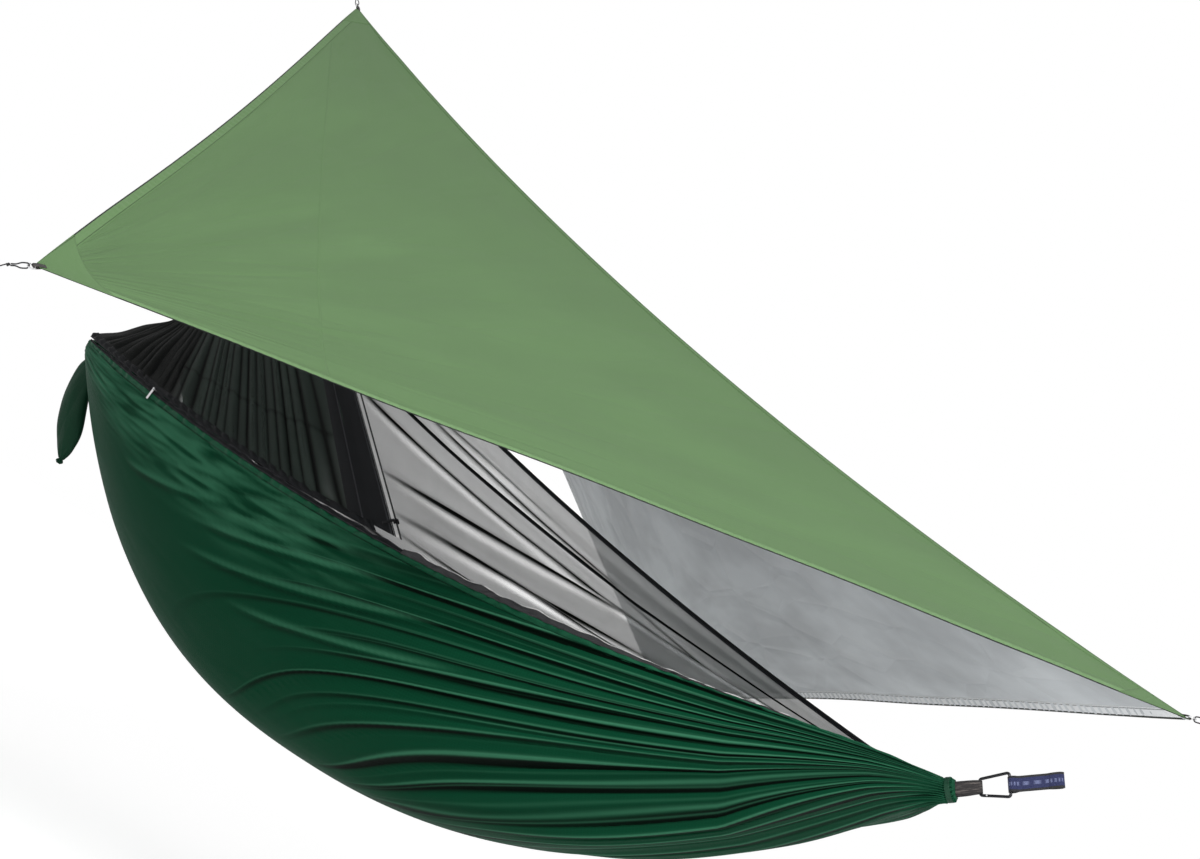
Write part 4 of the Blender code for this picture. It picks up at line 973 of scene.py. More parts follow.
def rim_strip(name, side, low, high, across, along, finish_name, wall, ruffle, ends=(-1.190, 1.208)):
    """A strip that stands on the rim, from low to high above the hem's top edge, narrower at its ends."""

    def place(s, t):
        x = mix(*ends, t)
        wave = math.sin(x * 150 + 5 * uneven(x * 14, s, 2.0)) + 1.6 * uneven(x * 45, s, 3.0)
        out = ruffle * wave * (0.4 + s) + rim_wave(x, side)
        tall = high * (1 + 0.45 * uneven(x * 24, side * 3.0, 5.0))
        return rim(x, side, mix(1.15 * low, tall, s) * rim_reach(x)) + Y_AXIS * side * out

    size = (high - low, ends[1] - ends[0])
    return cloth(name, across, along, place, size, finish_name, wall=wall, flip=side == FAR)


class BuildBed(bpy.types.Operator):
    """Builds the hammock's bed and the hems along its two top edges"""

    bl_idname = "tent.build_bed"
    bl_label = "Bed and hems"

    def execute(self, context):
        bed = cloth(
            "bed", 400, 210, bed_point, (1.30, 2.84), "hammock_nylon", marked=(bed_labels, bed_marks)
        )
        settle(bed, "hammock", "hammock_cloth", "hammock_body")
        for name, side in (("near", NEAR), ("far", FAR)):
            hem = rim_strip(
                f"{name}_hem", side, -hem_width, 0.0005, 6, 460, "rim_hem_cloth", 0.0018, 0.0016
            )
            settle(hem, "hammock", "net_trim", f"{name}_rim_hem")
        return {"FINISHED"}


class BuildGathers(bpy.types.Operator):
    """Builds the bunched cloth, the whipping and the webbing loop of each end"""

    bl_idname = "tent.build_gathers"
    bl_label = "Gathered ends"

    def execute(self, context):
        ends = (
            ("foot", foot_neck, foot_line, foot_up, Y_AXIS, foot_loop_reach),
            ("head", head_neck, head_line, Y_AXIS, head_up, head_loop_reach),
        )
        for name, end, out, wide, thin, reach in ends:
            up = out.cross(Y_AXIS).normalized()
            self.bunch(name, end, out, up)
            self.whipping(name, end, out, up)
            self.loop(name, end, out, wide, thin, reach)
        return {"FINISHED"}

    def bunch(self, name, end, out, up):
        """The gathered cloth's end, in pleats, seen in the mouth of the whipping."""

        def place(turn, t):
            angle = 2 * math.pi * turn
            pleat = 0.0020 * math.cos(neck_pleats * angle) * smooth(3 * t)
            radius = bunch_radius * (1 - 0.16 * smooth((t - 0.7) / 0.3)) + pleat
            return end + out * mix(-whipping_length, bunch_mouth, t) + radius * around(Y_AXIS, up, angle)

        made = tube(f"{name}_bunch", 130, 10, place, (0.09, 0.014), "hammock_nylon")
        settle(made, "hammock", "hammock_cloth", f"{name}_gather_core")

    def whipping(self, name, end, out, up):
        """Turns of cord wound side by side round the gathered cloth."""
        path = []
        for q in spaced(0, 1, 40 * whipping_turns):
            ring = whipping_radius * around(Y_AXIS, up, 2 * math.pi * whipping_turns * q)
            path.append(end + out * mix(whipping_first, whipping_last, q) + ring)
        made = cord_mesh(f"{name}_wound_cord", path, whipping_thread, "whipping_cord", detail=2)
        settle(made, "hammock", "hammock_cloth", f"{name}_whipping")

    def loop(self, name, end, out, wide, thin, reach):
        """The doubled webbing loop through the gather."""
        opening = rod_radius + loop_play
        radius = opening + loop_wall / 2
        inner = end - out * (clearance + whipping_length + loop_tail - radius)
        run = (end + out * (reach + rod_radius + clearance - opening) - inner).length
        total = 2 * run + 2 * math.pi * radius

        def place(s, t):
            at = t % 1 * total
            narrow = 1 - 0.14 * bell((at - run) / (0.3 * run))
            return belt(at, run, radius, inner, out, thin) + wide * loop_width * (s - 0.5) * narrow

        made = cloth(
            f"{name}_webbing_loop", 10, 120, place, (loop_width, total), "webbing_dark",
            wall=loop_wall, joined=True,
        )
        edge = made.modifiers.new("edge", "BEVEL")
        edge.width, edge.segments = 0.0003, 2
        settle(made, "hammock", "dark_webbing", f"{name}_end_loop")


# The foot strap's half section: distances along it, and how far out the webbing stands there
strap_knots = (
    (-rod_radius - 0.0012, 0.0), (-0.0010, 0.0046), (0.0030, 0.0069), (0.0100, 0.0050), (0.0170, 0.0013),
    (0.0400, 0.0013), (0.0640, 0.0013), (0.0730, 0.0034), (0.0830, 0.0047), (0.0900, 0.0040),
    (strap_length + 0.0008, 0.0),
)


class BuildSuspension(bpy.types.Operator):
    """Finishes the carabiners and builds the foot strap"""

    bl_idname = "tent.build_suspension"
    bl_label = "Carabiners and foot strap"

    def execute(self, context):
        for name in ("foot", "head"):
            repaint("steel_black", f"{name}_carabiner", f"{name}_gate")
            repaint("steel_bright", f"{name}_gate_pin")
        self.strap()
        return {"FINISHED"}

    def strap(self):
        """Webbing folded round the carabiner and sewn, with an open loop at its outer end."""

        def place(s, t):
            along, out = catmull(strap_knots, 1 - abs(2 * t - 1))
            side = foot_up * strap_width * (s - 0.5)
            return wide_bar + foot_line * along + Y_AXIS * math.copysign(max(out, 0), 0.5 - t) + side

        made = cloth(
            "strap_webbing", 12, 24 * (len(strap_knots) - 1), place, (strap_width, 0.2), "webbing_navy",
            wall=strap_wall, offset=-1, joined=True, outward=True,
        )
        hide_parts("foot_strap")
        inner, outer = wide_bar + foot_line * strap_sewn_from, wide_bar + foot_line * strap_sewn_to
        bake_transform(made, "hammock", "fly_and_strap", start=inner, end=outer)


# The net's own shape


def ridge(x):
    if x < peak_x:
        share = (x - ridge_head_x) / (peak_x - ridge_head_x)
        return middle(x, 0, mix(ridge_head_height, peak_height, share))
    share = (x - peak_x) / (ridge_foot_x - peak_x)
    height = mix(peak_height, ridge_foot_height, share) - 4 * ridge_foot_sag * share * (1 - share)
    return middle(x, 0, height)


def under_ridge(x, side):
    return ridge(x) + Y_AXIS * side * net_top_side - Z_AXIS * (ridge_wall + 0.0012)


door_foot = rim(door_x, NEAR, zip_height + 0.0004)
door_line = (door_foot - ridge(peak_x)).normalized()
door_length = (door_foot - ridge(peak_x)).length
door_side = (X_AXIS - door_line * door_line.x).normalized()
door_out = -door_line.cross(door_side).normalized()
if door_out.y > 0:
    door_out.negate()
rim_slope = door_side.z / -door_line.z


def door_point(inset, distance):
    """A point of the door's free edge: inset from it towards the head, distance down from the peak."""
    return ridge(peak_x) - door_side * inset + door_line * distance


# The far panel's folds: share of its height at the head and at the foot, first and last place, width, layers
far_folds = (
    (0.055, 0.10, 0.00, 1.10, 0.024, 2.4),
    (0.150, 0.22, 0.30, 1.10, 0.020, 2.4),
    (0.095, 0.556, 0.30, 0.72, 0.026, 3.4),
    (0.240, 0.39, 0.42, 0.70, 0.018, 2.6),
    (0.218, 0.801, 0.27, 0.70, 0.024, 3.4),
    (0.675, 0.595, 0.20, 0.92, 0.026, 3.6),
    (0.859, 0.719, 0.31, 0.70, 0.020, 3.0),
    (0.830, 0.890, 0.33, 0.60, 0.018, 2.4),
    (1.280, 0.460, 0.62, 0.86, 0.018, 2.2),
)


def far_fold(u, v):
    """How far the far panel stands out, and how many layers of it lie there."""
    out, layers = 0.0, 1.0
    for k, (start_v, end_v, start_u, end_u, wide, most) in enumerate(far_folds):
        line_v = mix(start_v, end_v, u) + 0.010 * uneven(u * 4, k * 3.0, 1.0)
        off = (v - line_v) / wide
        grown = smooth((u - start_u) * 6) * smooth((end_u - u) * 8)
        out += 0.010 * grown * bell(off) * (0.7 + 0.3 * uneven(u * 6, k, 4.0))
        out -= 0.006 * grown * bell(off - 1.6)
        layers += 2.6 * (most - 1) * grown * bell(2.3 * off) * (0.8 + 0.5 * uneven(u * 9, k, 5.0))
        layers -= 0.75 * grown * bell(1.3 * off + 1.6) * (0.6 + 0.4 * u)
    layers += 9 * (1 - smooth((u - 0.09) / 0.14))
    return out, max(layers, 0.15)


def far_net_point(u, v):
    """The taut far panel: u from head to foot, v from the rim up to the ridge."""
    x = mix(net_head_x, net_foot_x, u)
    low, high = rim(x, FAR, 0.001), under_ridge(x, FAR)
    size = (high - low).length / rim_half_width
    wave = 0.0040 * math.sin(2 * math.pi * 4 * v) * size * smooth(2 * u)
    wave += far_fold(u, v)[0] * size
    wave += 0.0040 * uneven(u * 7, v * 5, 3.0)
    return mix(low, high, v) + (Y_AXIS + Z_AXIS).normalized() * wave * smooth(12 * v) * smooth(12 * (1 - v))


def near_net_ends(u):
    inset = door_zip + door_band + 0.0012
    last_top = door_point(inset, door_top_clear)
    last_low = door_point(inset, door_length - door_foot_clear - inset * rim_slope)
    low = rim(mix(net_head_x, (last_low - centre).x, u), NEAR, 0.0195)
    high = under_ridge(mix(net_head_x, peak_x - pleat_top_clear, u), NEAR)
    near_door = smooth((u - 1) * 6 + 1)
    return mix(low, last_low, near_door), mix(high, last_top, near_door)


def pleat_line(u, v):
    """Where (u, v) lies among the pleats of the gathered panel: 0 in a valley, 1 on a fold."""
    turns = 30 * u + 0.75 * uneven(u * 11, v * 0.35, 5.0)
    return abs(math.sin(math.pi * turns)) ** 0.7


def pleat_layers(u, v):
    """Layers of net: many in the valleys between pleats, and along the doubled band at the foot."""
    bunched = (1 - pleat_line(u, v)) ** 1.5 * (2.6 + 3.0 * uneven(u * 19, v * 0.5, 3.0))
    seam = 0.8 * bell((v - 0.27) / 0.010)
    corner = 4 * smooth((0.09 - u) / 0.03) + 3.5 * smooth((0.46 - u) / 0.14)
    return max(1.45 + 0.7 * uneven(u * 31, v * 1.5, 8.0) + bunched + seam + corner, 1.0)


def near_net_point(u, v):
    """The near panel, pushed to the head end in pleats: u from head to door, v from the rim to the ridge."""
    low, high = near_net_ends(u)
    depth = bpy.context.scene.tent_sizes.pleat
    heft = 0.85 + 0.95 * uneven(u * 19, v * 1.1, 1.0)
    size = depth * heft * (pleat_line(u, v) - 0.6)
    size += 0.45 * depth * math.sin(2 * math.pi * 12 * u) * (1 - v) ** 0.5
    size *= smooth(12 * u) * smooth(12 * (1 - u)) * smooth(9 * v + 0.15) * mix(1, 0.5, v)
    slack = 0.012 * math.sin(math.pi * v) * uneven(u * 5, v * 2, 2.0)
    return mix(low, high, v) + (Z_AXIS - Y_AXIS).normalized() * (size + slack)


class BuildNet(bpy.types.Operator):
    """Builds the net's two panels, its door, its tapes and its zips"""

    bl_idname = "tent.build_net"
    bl_label = "Bug net"

    def execute(self, context):
        far = cloth(
            "far_net", 240, 190, far_net_point, (2.45, 0.55), "net_taut",
            marked=(("layers",), lambda u, v: (far_fold(u, v)[1],)),
        )
        settle(far, "hammock", "net_mesh", "net_far_panel")
        near = cloth(
            "near_net", 480, 70, near_net_point, (1.45, 0.60), "net_gathered",
            marked=(("layers",), lambda u, v: (pleat_layers(u, v),)),
        )
        settle(near, "hammock", "net_mesh", "net_near_panel")
        seam = settle(self.far_seam(), "hammock", "net_trim")
        foot = settle(self.near_foot(), "hammock", "net_trim")
        closed = rim_strip(
            "near_zip_closed", NEAR, 0.0002, 0.0105, 6, 260, "net_tape", 0.0012, 0.0012,
            (net_head_x, door_x),
        )
        settle(closed, "hammock", "zip_tape", "near_zip_tape")
        opened = rim_strip(
            "near_zip_open", NEAR, 0.0002, zip_height, 6, 180, "rim_zip_open", 0.0012, 0.0016,
            (door_x, zip_reach),
        )
        settle(opened, "hammock", "zip_tape")
        settle(self.ridge_tape(), "hammock", "net_trim", "net_ridge_tape")
        zip_half = self.door_strip("door_zip", 0, door_zip, 6, 0.0013, "door_zip_half", 0.0, 0.0)
        settle(zip_half, "hammock", "zip_tape", "door_zip_tape")
        start = door_zip + 0.0004
        band = self.door_strip(
            "door_band", start, door_zip + door_band + 0.012, 20, 0.0016, "door_band_cloth", 0.0014, 0.032
        )
        settle(band, "hammock", "net_trim", "door_edge_band")
        return {"FINISHED"}

    def far_seam(self):
        """The dark seam that runs along the far panel from the peak to the foot."""

        def place(s, t):
            spot = far_net_point(mix(0.16, 0.985, t), 0.755 + 0.016 * (s - 0.5))
            return spot + Vector((0, -1, -0.4)).normalized() * 0.0010

        return cloth("far_net_seam", 3, 300, place, (0.008, 2.0), "net_tape", wall=0.0008)

    def near_foot(self):
        """The dark band along the gathered panel's foot: tucked in below, and calm where the slider is."""
        low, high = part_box("rim_zip_slider")
        slider = (low.x + high.x) / 2

        def place(s, t):
            low, high = near_net_ends(t)
            up = (high - low).normalized()
            calm = smooth((abs(low.x - slider) - 0.035) / 0.03)
            depth = 0.026 * (1 + 0.15 * uneven(t * 30, 0.0, 3.0))
            ruffle = 0.0030 * math.sin(2 * math.pi * 34 * t) + 0.0025 * uneven(t * 60, s * 2, 4.0)
            out = mix(-0.0050, calm * (0.0022 + ruffle), smooth(2 * s))
            return low + up * (s * depth - 0.016) + Vector((0, -1, 0.25)) * out

        return cloth("near_net_foot", 8, 420, place, (0.026, 1.4), "door_band_cloth", wall=0.0012)

    def door_strip(self, name, start, end, across, wall, finish_name, slack, spread):
        """A strip along the door's free edge; spread is how much wider its foot is than its top."""

        def place(s, t):
            inset = mix(start, end + spread * t, s)
            low = door_length - door_foot_clear - inset * rim_slope
            wave = math.sin(5.2 * math.pi * s) * 0.5 + uneven(s * 3, t * 6, 6.0)
            out = slack * wave * math.sin(math.pi * t) ** 0.5 + 0.006 * smooth(3 * s - 1.2) * bool(spread)
            return door_point(inset, mix(door_top_clear, low, t)) + door_out * out

        return cloth(name, across, 90, place, (end - start, door_length), finish_name, wall=wall)

    def ridge_tape(self):
        """The rolled tape over both panels, along the ridge."""

        def place(turn, t):
            x = mix(ridge_head_x, ridge_foot_x, t)
            ahead = (ridge(x + 0.002) - ridge(x - 0.002)).normalized()
            up = ahead.cross(Y_AXIS).normalized() * -1
            wide, thick = 0.0062 * (1 + 0.35 * smooth((t - 0.94) / 0.06)), 0.0046
            return ridge(x) + around(Y_AXIS * wide, up * thick, 2 * math.pi * turn)

        return tube("ridge_tape", 20, 200, place, (0.024, 2.4), "net_tape")


class BuildZips(bpy.types.Operator):
    """Finishes the two zip sliders and their pulls"""

    bl_idname = "tent.build_zips"
    bl_label = "Zip sliders"

    def execute(self, context):
        repaint("steel_bright", "rim_zip_slider", "rim_zip_pull")
        repaint("steel_black", "door_zip_slider", "door_zip_pull")
        return {"FINISHED"}


# The fly's own shape


def fly_ridge_height(x):
    share = (x - fly_head.x) / (fly_foot.x - fly_head.x)
    return mix(fly_head.z, fly_foot.z, share) - 4 * fly_ridge_sag * share * (1 - share)


def fly_wrinkles(x, y):
    """Low ridges that run out from each corner and die away, and finer ones between them."""
    high = bpy.context.scene.tent_sizes.wrinkle
    total = 0
    for k, corner in enumerate((fly_head, fly_foot, fly_near, fly_far)):
        dx, dy = x - corner.x, y - corner.y
        distance, angle = math.hypot(dx, dy), math.atan2(dy, dx)
        fade = smooth(distance / patch_side - 1) * (1 - smooth(distance / wrinkle_reach))
        total += 0.35 * high * math.cos(2 * wrinkle_count * angle + k) * fade
        turns = 11 * angle + k + 0.3 * uneven(distance * 3, angle * 2, k)
        number = round(turns)
        start = 0.16 + 0.35 * abs(uneven(number * 1.7, k, 6.0))
        reach = 0.16 + 0.45 * abs(uneven(number * 2.3, k, 9.0))
        ends = smooth((distance - start) / 0.08) * smooth((start + reach - distance) / 0.10)
        total += 0.0076 * bell((turns - number) / 0.13) * ends * uneven(number * 3.1, k, 2.0)
    return total


def fly_height(x, y):
    corner = fly_near if y < 0 else fly_far
    v = min(abs(y) / abs(corner.y), 1 - 0.0004)
    ridge_x = min(max((x - v * corner.x) / (1 - v), fly_head.x), fly_foot.x)
    share = (ridge_x - fly_head.x) / (fly_foot.x - fly_head.x)
    billow = -fly_billow * math.sin(math.pi * share) * 4 * v * (1 - v)
    lull = 0.0050 * uneven(x * 2.3, y * 2.3, 1.5) * smooth(4 * v) * smooth(5 * (1 - v))
    return mix(fly_ridge_height(ridge_x), corner.z, v) + billow + fly_wrinkles(x, y) + lull


def on_fly(plan, above=0.0):
    return middle(plan.x, plan.y, fly_height(plan.x, plan.y) + above)


def side_point(start, end, distance, inset):
    """A plan point along a side of the fly, drawn in by the edge's hollow cut and the inset."""
    a, b = start.xy, end.xy
    run = b - a
    q = distance / run.length
    inward = Vector((-run.y, run.x)).normalized()
    if inward.dot((fly_head + fly_foot).xy / 2 - a) < 0:
        inward.negate()
    return a + run * q + inward * (inset + edge_cut * 16 * q * q * (1 - q) * (1 - q))


# The fly's sides, each with the corners at its ends, and its corners, each with the two beside it
fly_sides = (
    ("head_near", fly_head, fly_near), ("near_foot", fly_near, fly_foot),
    ("foot_far", fly_foot, fly_far), ("far_head", fly_far, fly_head),
)
fly_corners = (
    ("head", fly_head, fly_near, fly_far), ("near", fly_near, fly_head, fly_foot),
    ("foot", fly_foot, fly_near, fly_far), ("far", fly_far, fly_foot, fly_head),
)


class BuildFly(bpy.types.Operator):
    """Builds the rain fly's panels, ridge seam, hems and corner patches"""

    bl_idname = "tent.build_fly"
    bl_label = "Rain fly"

    def execute(self, context):
        near, far = (
            settle(self.panel(name, low), "fly_and_strap", "fly_cloth", f"{name}_panel")
            for name, low in (("fly_near", fly_near), ("fly_far", fly_far))
        )
        hems = [
            settle(self.hem(name, start, end), "fly_and_strap", "fly_cloth", f"fly_hem_{name}")
            for name, start, end in fly_sides
        ]
        tape = settle(self.ridge_tape(), "fly_and_strap", "fly_patch", "fly_ridge_tape")
        patches = [
            settle(self.patch(name, *corners), "fly_and_strap", "fly_patch", f"{name}_corner_patch")
            for name, *corners in fly_corners
        ]
        seam = settle(self.cross_seam(), "fly_and_strap", "fly_patch")
        hems[:2] + patches[:3] + [tape, seam]
        hems[2:] + patches[3:]
        return {"FINISHED"}

    def panel(self, name, low):
        """One half of the fly, from the ridge to its low corner."""
        lengths = (low.xy - fly_head.xy).length, (low.xy - fly_foot.xy).length

        def place(s, t):
            down = t * 0.985
            a = side_point(fly_head, low, lengths[0] * down, 0.0008)
            b = side_point(fly_foot, low, lengths[1] * down, 0.0008)
            return on_fly(mix(a, b, s))

        return cloth(
            name, 190, 130, place, (2.8, abs(low.y)), "fly_ripstop", "fly_silver_coat",
            wall=0.0007, flip=low is fly_near,
        )

    def hem(self, name, start, end):
        """A folded hem along one side, a little puckered by its stitches; the low near edge's is paler."""
        run = (end.xy - start.xy).length

        def place(s, t):
            pucker = 0.0006 * math.sin(run * t * 330 + 2 * uneven(t * 90, 0.0))
            pucker *= smooth(8 * t) * smooth(8 * (1 - t)) * (1 - abs(2 * s - 1))
            return on_fly(side_point(start, end, mix(0.012, run - 0.012, t), s * fly_hem), 0.0002 + pucker)

        face = "fly_hem_pale" if start is fly_near else "fly_hem_ripstop"
        return cloth(
            f"hem_{name}", 8, 620, place, (fly_hem, run), face, "fly_hem_silver", wall=0.0012, flip=True
        )

    def ridge_tape(self):
        """The flat-felled seam along the ridge."""

        def place(s, t):
            x = mix(fly_head.x + 0.012, fly_foot.x - 0.012, t)
            wide = 0.026 * min(1, 0.25 + 0.75 * smooth(16 * min(t, 1 - t)))
            return on_fly(Vector((x, (s - 0.5) * wide)), 0.0005)

        return cloth("fly_ridge_seam", 8, 520, place, (0.026, 2.9), "fly_ridge_ripstop", wall=0.0014)

    def cross_seam(self):
        """The seam of two widths of cloth that crosses the near panel."""
        top = side_point(fly_head, fly_near, 0.29, 0.022)
        low = side_point(fly_near, fly_foot, 0.485, 0.022)

        def place(s, t):
            return on_fly(mix(top, low, t) + Vector((0.009 * (s - 0.5), 0)), 0.0003)

        return cloth("fly_cross_seam", 4, 200, place, (0.009, 1.1), "fly_ripstop", wall=0.0006)

    def patch(self, name, corner, first, second):
        """A doubled triangle of cloth sewn to a corner."""
        half_angle = (first.xy - corner.xy).angle(second.xy - corner.xy) / 2
        tip = patch_tip / 2 / math.sin(half_angle)

        def place(s, t):
            bow = 0.010 * (1 - (2 * s - 1) ** 2) * t
            side = mix(tip, patch_side - bow, t)
            plan = mix(side_point(corner, first, side, 0), side_point(corner, second, side, 0), s)
            return on_fly(plan, 0.0004)

        size = (2 * patch_side * math.sin(half_angle), patch_side)
        return cloth(f"{name}_patch", 24, 24, place, size, "fly_patch_ripstop", wall=0.0013)


class BuildCorners(bpy.types.Operator):
    """Finishes the fly's corner rings and builds their tabs, guy cords and knots"""

    bl_idname = "tent.build_corners"
    bl_label = "Fly corners"

    def execute(self, context):
        for name in ("head", "near", "foot", "far"):
            repaint("steel_bright", f"{name}_corner_ring")
            joint = next(j for j in frame["joints"] if j["name"] == f"{name}_guy_swivel")
            bar, across = Vector(joint["pos_m"]), Vector(joint["axis"]).normalized()
            low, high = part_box(f"{name}_guy_knot")
            out = (low + high) / 2 - bar
            out = (out - across * out.dot(across)).normalized()
            normal = out.cross(across).normalized()
            self.tab(name, bar, out, across, normal)
            self.guy(name, bar, out, across, normal)
        return {"FINISHED"}

    def tab(self, name, bar, out, across, normal):
        """Webbing folded round the ring's bar and sewn under the patch."""
        radius, tail, flat = 0.0025, 0.016, 0.0195
        total = 2 * flat + math.pi * radius

        def place(s, t):
            at = t * total
            flatter = 0.80 * smooth(1 - min(at, total - at) / tail)
            spot = belt(at, flat, radius, bar - out * flat, out, normal)
            return spot - normal * math.copysign(radius * flatter, 0.5 - t) + across * 0.0100 * (s - 0.5)

        made = cloth(f"{name}_tab", 6, 60, place, (0.010, 0.047), "webbing_dark", wall=0.0010)
        settle(made, "fly_and_strap", "dark_webbing", f"{name}_corner_tab")

    def guy(self, name, bar, out, across, normal):
        """The doubled cord through the ring, its knot and its short tail."""
        bend_radius, radius, reach, offset = 0.0048, 0.0012, 0.0250, 0.0016
        bend = bar + out * (0.0110 - 0.0014 - 0.0003 - radius + bend_radius)
        end = bend + out * reach
        turn = [bend + bend_radius * around(normal, -out, a) for a in spaced(0, math.pi, 10)]
        third = out * reach / 3
        upper = [end + normal * offset, end + normal * offset * 1.1 - third, turn[0] + third]
        lower = [turn[-1] + third, end - normal * offset * 1.1 - third, end - normal * offset]
        path = curve_path(upper + turn + lower, 3)
        loop = cord_curve(f"{name}_guy", path, radius, "cord_sheath")
        knot_path = []
        for a in spaced(0, 2 * math.pi, 72)[:-1]:
            x, y, z = math.sin(a) + 2 * math.sin(2 * a), math.cos(a) - 2 * math.cos(2 * a), -math.sin(3 * a)
            turned = x * out * 1.35 + y * normal * 1.05 + 1.5 * z * across
            knot_path.append(end + out * 0.0045 + 0.00068 * turned)
        knot = cord_mesh(f"{name}_knot", knot_path, radius, "cord_sheath", closed=True, detail=3)
        tail_path = [
            end + out * (0.0080 + 0.0092 * q) + across * 0.0010 * math.sin(3 * q) - Z_AXIS * 0.0045 * q * q
            for q in spaced(0, 1, 12)
        ]
        tail = cord_mesh(f"{name}_tail", tail_path, radius * 0.9, "cord_sheath", detail=3)
        for piece, nodes in ((loop, [f"{name}_guy_loop"]), (knot, [f"{name}_guy_knot"]), (tail, [])):
            settle(piece, f"{name}_guy", "guy_cord", *nodes)


class BuildLiftLine(bpy.types.Operator):
    """Builds the elastic line that lifts the net's peak to the fly's ridge"""

    bl_idname = "tent.build_lift_line"
    bl_label = "Lift line"

    def execute(self, context):
        repaint("steel_black", "lift_hook")
        low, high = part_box("net_lift_cord")
        foot = Vector(((low.x + high.x) / 2, 0, low.z))
        top = Vector((foot.x, 0, high.z))
        path = spaced(foot, top, 40)
        cord = cord_mesh("lift_cord", path, 0.0015, "cord_sheath", detail=3)
        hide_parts("net_lift_cord")
        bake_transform(cord, "hammock", "fly_and_strap", start=foot, end=top)
        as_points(path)
        self.loop("peak_loop", "net_peak_tab", "hammock", Y_AXIS, X_AXIS)
        self.loop("ridge_loop", "fly_ridge_loop", "fly_and_strap", X_AXIS, Y_AXIS)
        return {"FINISHED"}

    def loop(self, name, node, body, wide, thin):
        """A small sewn loop of webbing in its CAD node's place."""
        low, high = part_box(node)
        size, wall = high - low, 0.0010
        width = abs(size.dot(wide))
        radius = (abs(size.dot(thin)) - wall) / 2
        run = size.z - 2 * radius - wall
        total = 2 * run + 2 * math.pi * radius
        start = (low + high) / 2 - Z_AXIS * run / 2

        def place(s, t):
            return belt(t % 1 * total, run, radius, start, Z_AXIS, thin) + wide * width * (s - 0.5)

        made = cloth(name, 5, 72, place, (width, total), "webbing_dark", wall=wall, joined=True)
        settle(made, body, "dark_webbing", node)


class BuildSack(bpy.types.Operator):
    """Builds the stuff sack, its gathered mouth and the cord that it hangs by"""

    bl_idname = "tent.build_sack"
    bl_label = "Stuff sack"

    def execute(self, context):
        def place(turn, t):
            x, z, wide, thin = catmull(sack_axis, t)
            angle = 2 * math.pi * turn
            ends = smooth(1 - 5 * t) + smooth(1 - 4 * (1 - t))
            pucker = 1 + 0.10 * ends * math.cos(11 * angle + 2)
            soft = 0.0022 * uneven(math.cos(angle) * 1.6 + 3, t * 5 + math.sin(angle) * 1.4, 4.0)
            fold = 0.0016 * (abs(math.sin(2.5 * angle + 7 * t)) ** 0.6 - 0.6)
            deep = thin * pucker + (soft + fold) * math.sin(math.pi * t)
            return middle(x, sack_side, z) + around(X_AXIS * wide * pucker, Y_AXIS * deep, angle)

        sack = tube("sack", 110, 120, place, (0.22, 0.27), "sack_nylon")
        settle(sack, "stuff_sack", "sack_cloth", "stuff_sack")
        self.mouth()
        self.cord()
        return {"FINISHED"}

    def mouth(self):
        """The ruffled mouth below the drawn neck."""
        x, z, _, thin = catmull(sack_axis, 1)

        def place(turn, t):
            angle = 2 * math.pi * turn
            swell = mix(1.0, 1.35, smooth(2 * t)) * (1 - 0.45 * smooth((t - 0.6) / 0.4))
            ruffle = 1 + 0.20 * math.cos(9 * angle) * smooth(2 * t)
            ring = around(X_AXIS, Y_AXIS, angle) * thin * swell * ruffle
            return middle(x, sack_side, z - 0.0135 * t) + ring

        made = tube("sack_mouth", 90, 12, place, (0.05, 0.014), "sack_nylon")
        settle(made, "stuff_sack", "sack_cloth", "sack_mouth_hem")

    def cord(self):
        """The cord from the sack's top over the head loop, on the CAD cord's own line."""
        bm = bmesh.new()
        bm.from_mesh(frame["nodes"]["sack_hang_cord"].data)
        bmesh.ops.remove_doubles(bm, verts=bm.verts, dist=1e-6)
        bmesh.ops.recalc_face_normals(bm, faces=bm.faces)
        made = show("sack_cord", smooth_mesh("sack_cord", bm), "cord_sheath")
        rounded = made.modifiers.new("round", "SUBSURF")
        rounded.levels = rounded.render_levels = 1
        settle(made, "stuff_sack", "dark_webbing", "sack_hang_cord")


def seen(tree):
    """1 where the camera, a reflection or a view through something meets it."""
    camera, glossy, through = (
        add(tree, "LightPath", out=f"Is {kind} Ray") for kind in ("Camera", "Glossy", "Transmission")
    )
    return (camera + glossy + through).clamp()


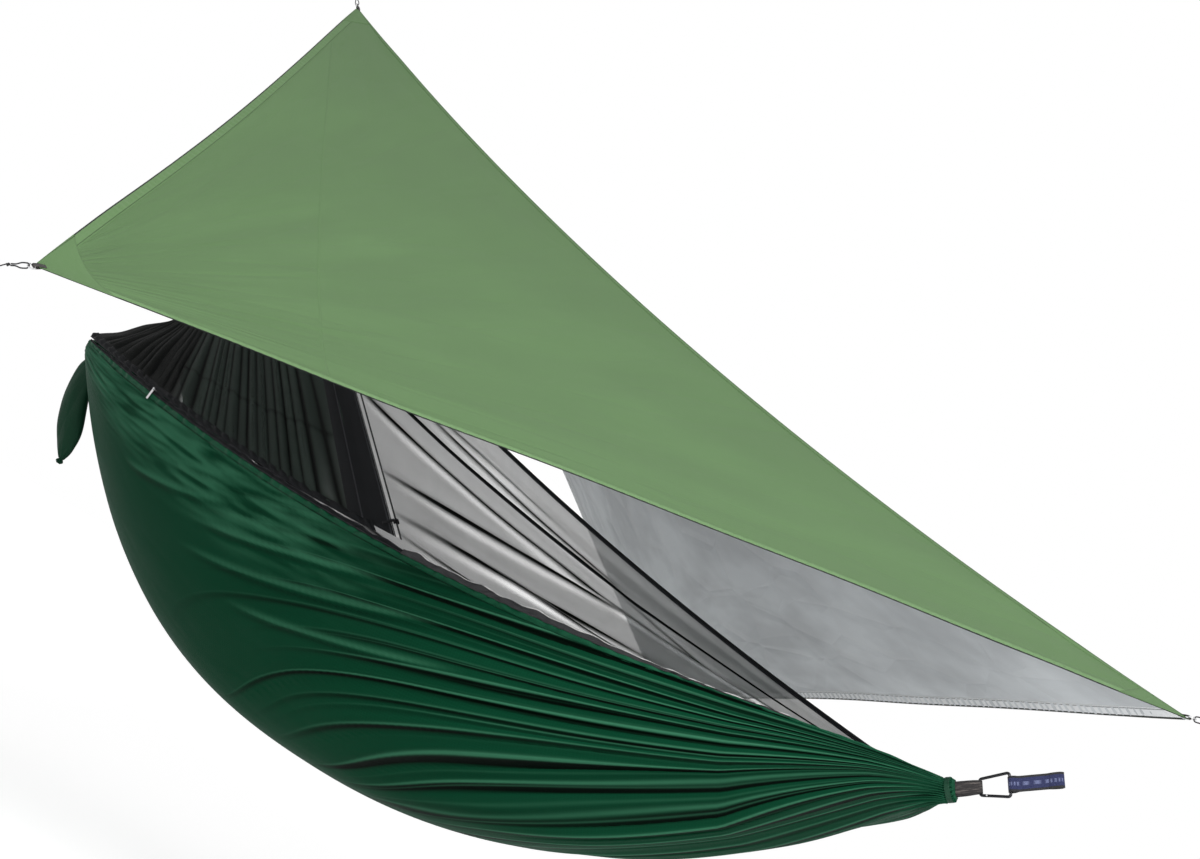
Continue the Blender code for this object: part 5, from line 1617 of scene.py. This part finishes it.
class BuildStage(bpy.types.Operator):
    """Sets the camera at the photograph's angle, the floor, the lamps and the world"""

    bl_idname = "tent.build_stage"
    bl_label = "Camera, floor and light"

    def execute(self, context):
        scene = context.scene
        scene.view_settings.view_transform = "Standard"
        yaw, pitch, roll = map(math.radians, (camera_yaw, camera_pitch, camera_roll))
        ahead = around(around(Y_AXIS, X_AXIS, yaw), Z_AXIS, pitch)
        level = around(X_AXIS, -Y_AXIS, yaw)
        over = level.cross(ahead)
        right, up = around(level, over, roll), around(over, -level, roll)
        data = bpy.data.cameras.new("camera")
        data.lens, data.sensor_width, data.sensor_fit = camera_lens, 36, "HORIZONTAL"
        data.clip_start, data.clip_end = 0.01, 200
        camera = bpy.data.objects.new("camera", data)
        turn = Matrix((right, up, -ahead)).transposed().to_4x4()
        camera.matrix_world = Matrix.Translation(middle(*camera_place)) @ turn
        scene.collection.objects.link(camera)
        scene.camera = camera
        self.floor()
        for each in lamps:
            self.lamp(*each)
        self.sky(scene)
        return {"FINISHED"}

    def floor(self):
        bm = bmesh.new()
        bmesh.ops.create_grid(bm, x_segments=1, y_segments=1, size=floor_half)
        bmesh.ops.translate(bm, verts=bm.verts, vec=middle(0, 0, -floor_drop))
        paper = bpy.data.materials.new("floor_paper")
        paper.use_nodes = True
        tree = paper.node_tree
        shader = tree.nodes["Principled BSDF"]
        plug(shader.inputs["Base Color"], (0.8, 0.8, 0.8))
        plug(shader.inputs["Roughness"], 0.9)
        plug(shader.inputs["Specular IOR Level"], 0.1)
        glow = add(tree, "Emission", (1, 1, 1), seen(tree) * 0.62)
        both = add(tree, "AddShader", Wire(shader.outputs[0]), glow)
        plug(tree.nodes["Material Output"].inputs["Surface"], both)
        made = show("floor", smooth_mesh("floor", bm))
        made.data.materials.append(paper)

    def lamp(self, name, place, size, power):
        data = bpy.data.lights.new(name, "AREA")
        data.shape, data.size, data.energy = "DISK", size, power
        made = bpy.data.objects.new(name, data)
        made.location = middle(*place)
        made.rotation_euler = (centre - made.location).to_track_quat("-Z", "Y").to_euler()
        bpy.context.scene.collection.objects.link(made)

    def sky(self, scene):
        scene.world = bpy.data.worlds.new("studio")
        scene.world.use_nodes = True
        tree = scene.world.node_tree
        shader = tree.nodes["Background"]
        plug(shader.inputs["Color"], (1, 1, 1))
        plug(shader.inputs["Strength"], seen(tree) * 0.55 + 0.45)


class TentPanel(bpy.types.Panel):
    """The tent's settings, and a button for each group of pieces"""

    bl_idname = "VIEW3D_PT_hammock_tent"
    bl_label = "Hammock tent"
    bl_space_type = "VIEW_3D"
    bl_region_type = "UI"
    bl_category = "Hammock tent"

    def draw(self, context):
        for group in (context.scene.tent_sizes, context.scene.tent_colours):
            column = self.layout.column(align=True)
            for name in group.__annotations__:
                column.prop(group, name)
        column = self.layout.column(align=True)
        for operator in builders:
            column.operator(operator.bl_idname)


builders = (
    BuildStage, BuildCorners, BuildLiftLine, BuildBed, BuildGathers, BuildSuspension,
    BuildNet, BuildZips, BuildFly, BuildSack,
)
groups = (TentColours, TentSizes)


def register():
    for each in (*groups, *builders, TentPanel):
        bpy.utils.register_class(each)
    bpy.types.Scene.tent_colours = bpy.props.PointerProperty(type=TentColours)
    bpy.types.Scene.tent_sizes = bpy.props.PointerProperty(type=TentSizes)


def unregister():
    del bpy.types.Scene.tent_sizes
    del bpy.types.Scene.tent_colours
    for each in reversed((*groups, *builders, TentPanel)):
        bpy.utils.unregister_class(each)


def main():
    register()
    bpy.ops.tent.build_stage()
    bpy.ops.tent.build_corners()
    bpy.ops.tent.build_lift_line()
    bpy.ops.tent.build_bed()
    bpy.ops.tent.build_gathers()
    bpy.ops.tent.build_suspension()
    bpy.ops.tent.build_net()
    bpy.ops.tent.build_zips()
    bpy.ops.tent.build_fly()
    bpy.ops.tent.build_sack()


if __name__ == "__main__":
    main()
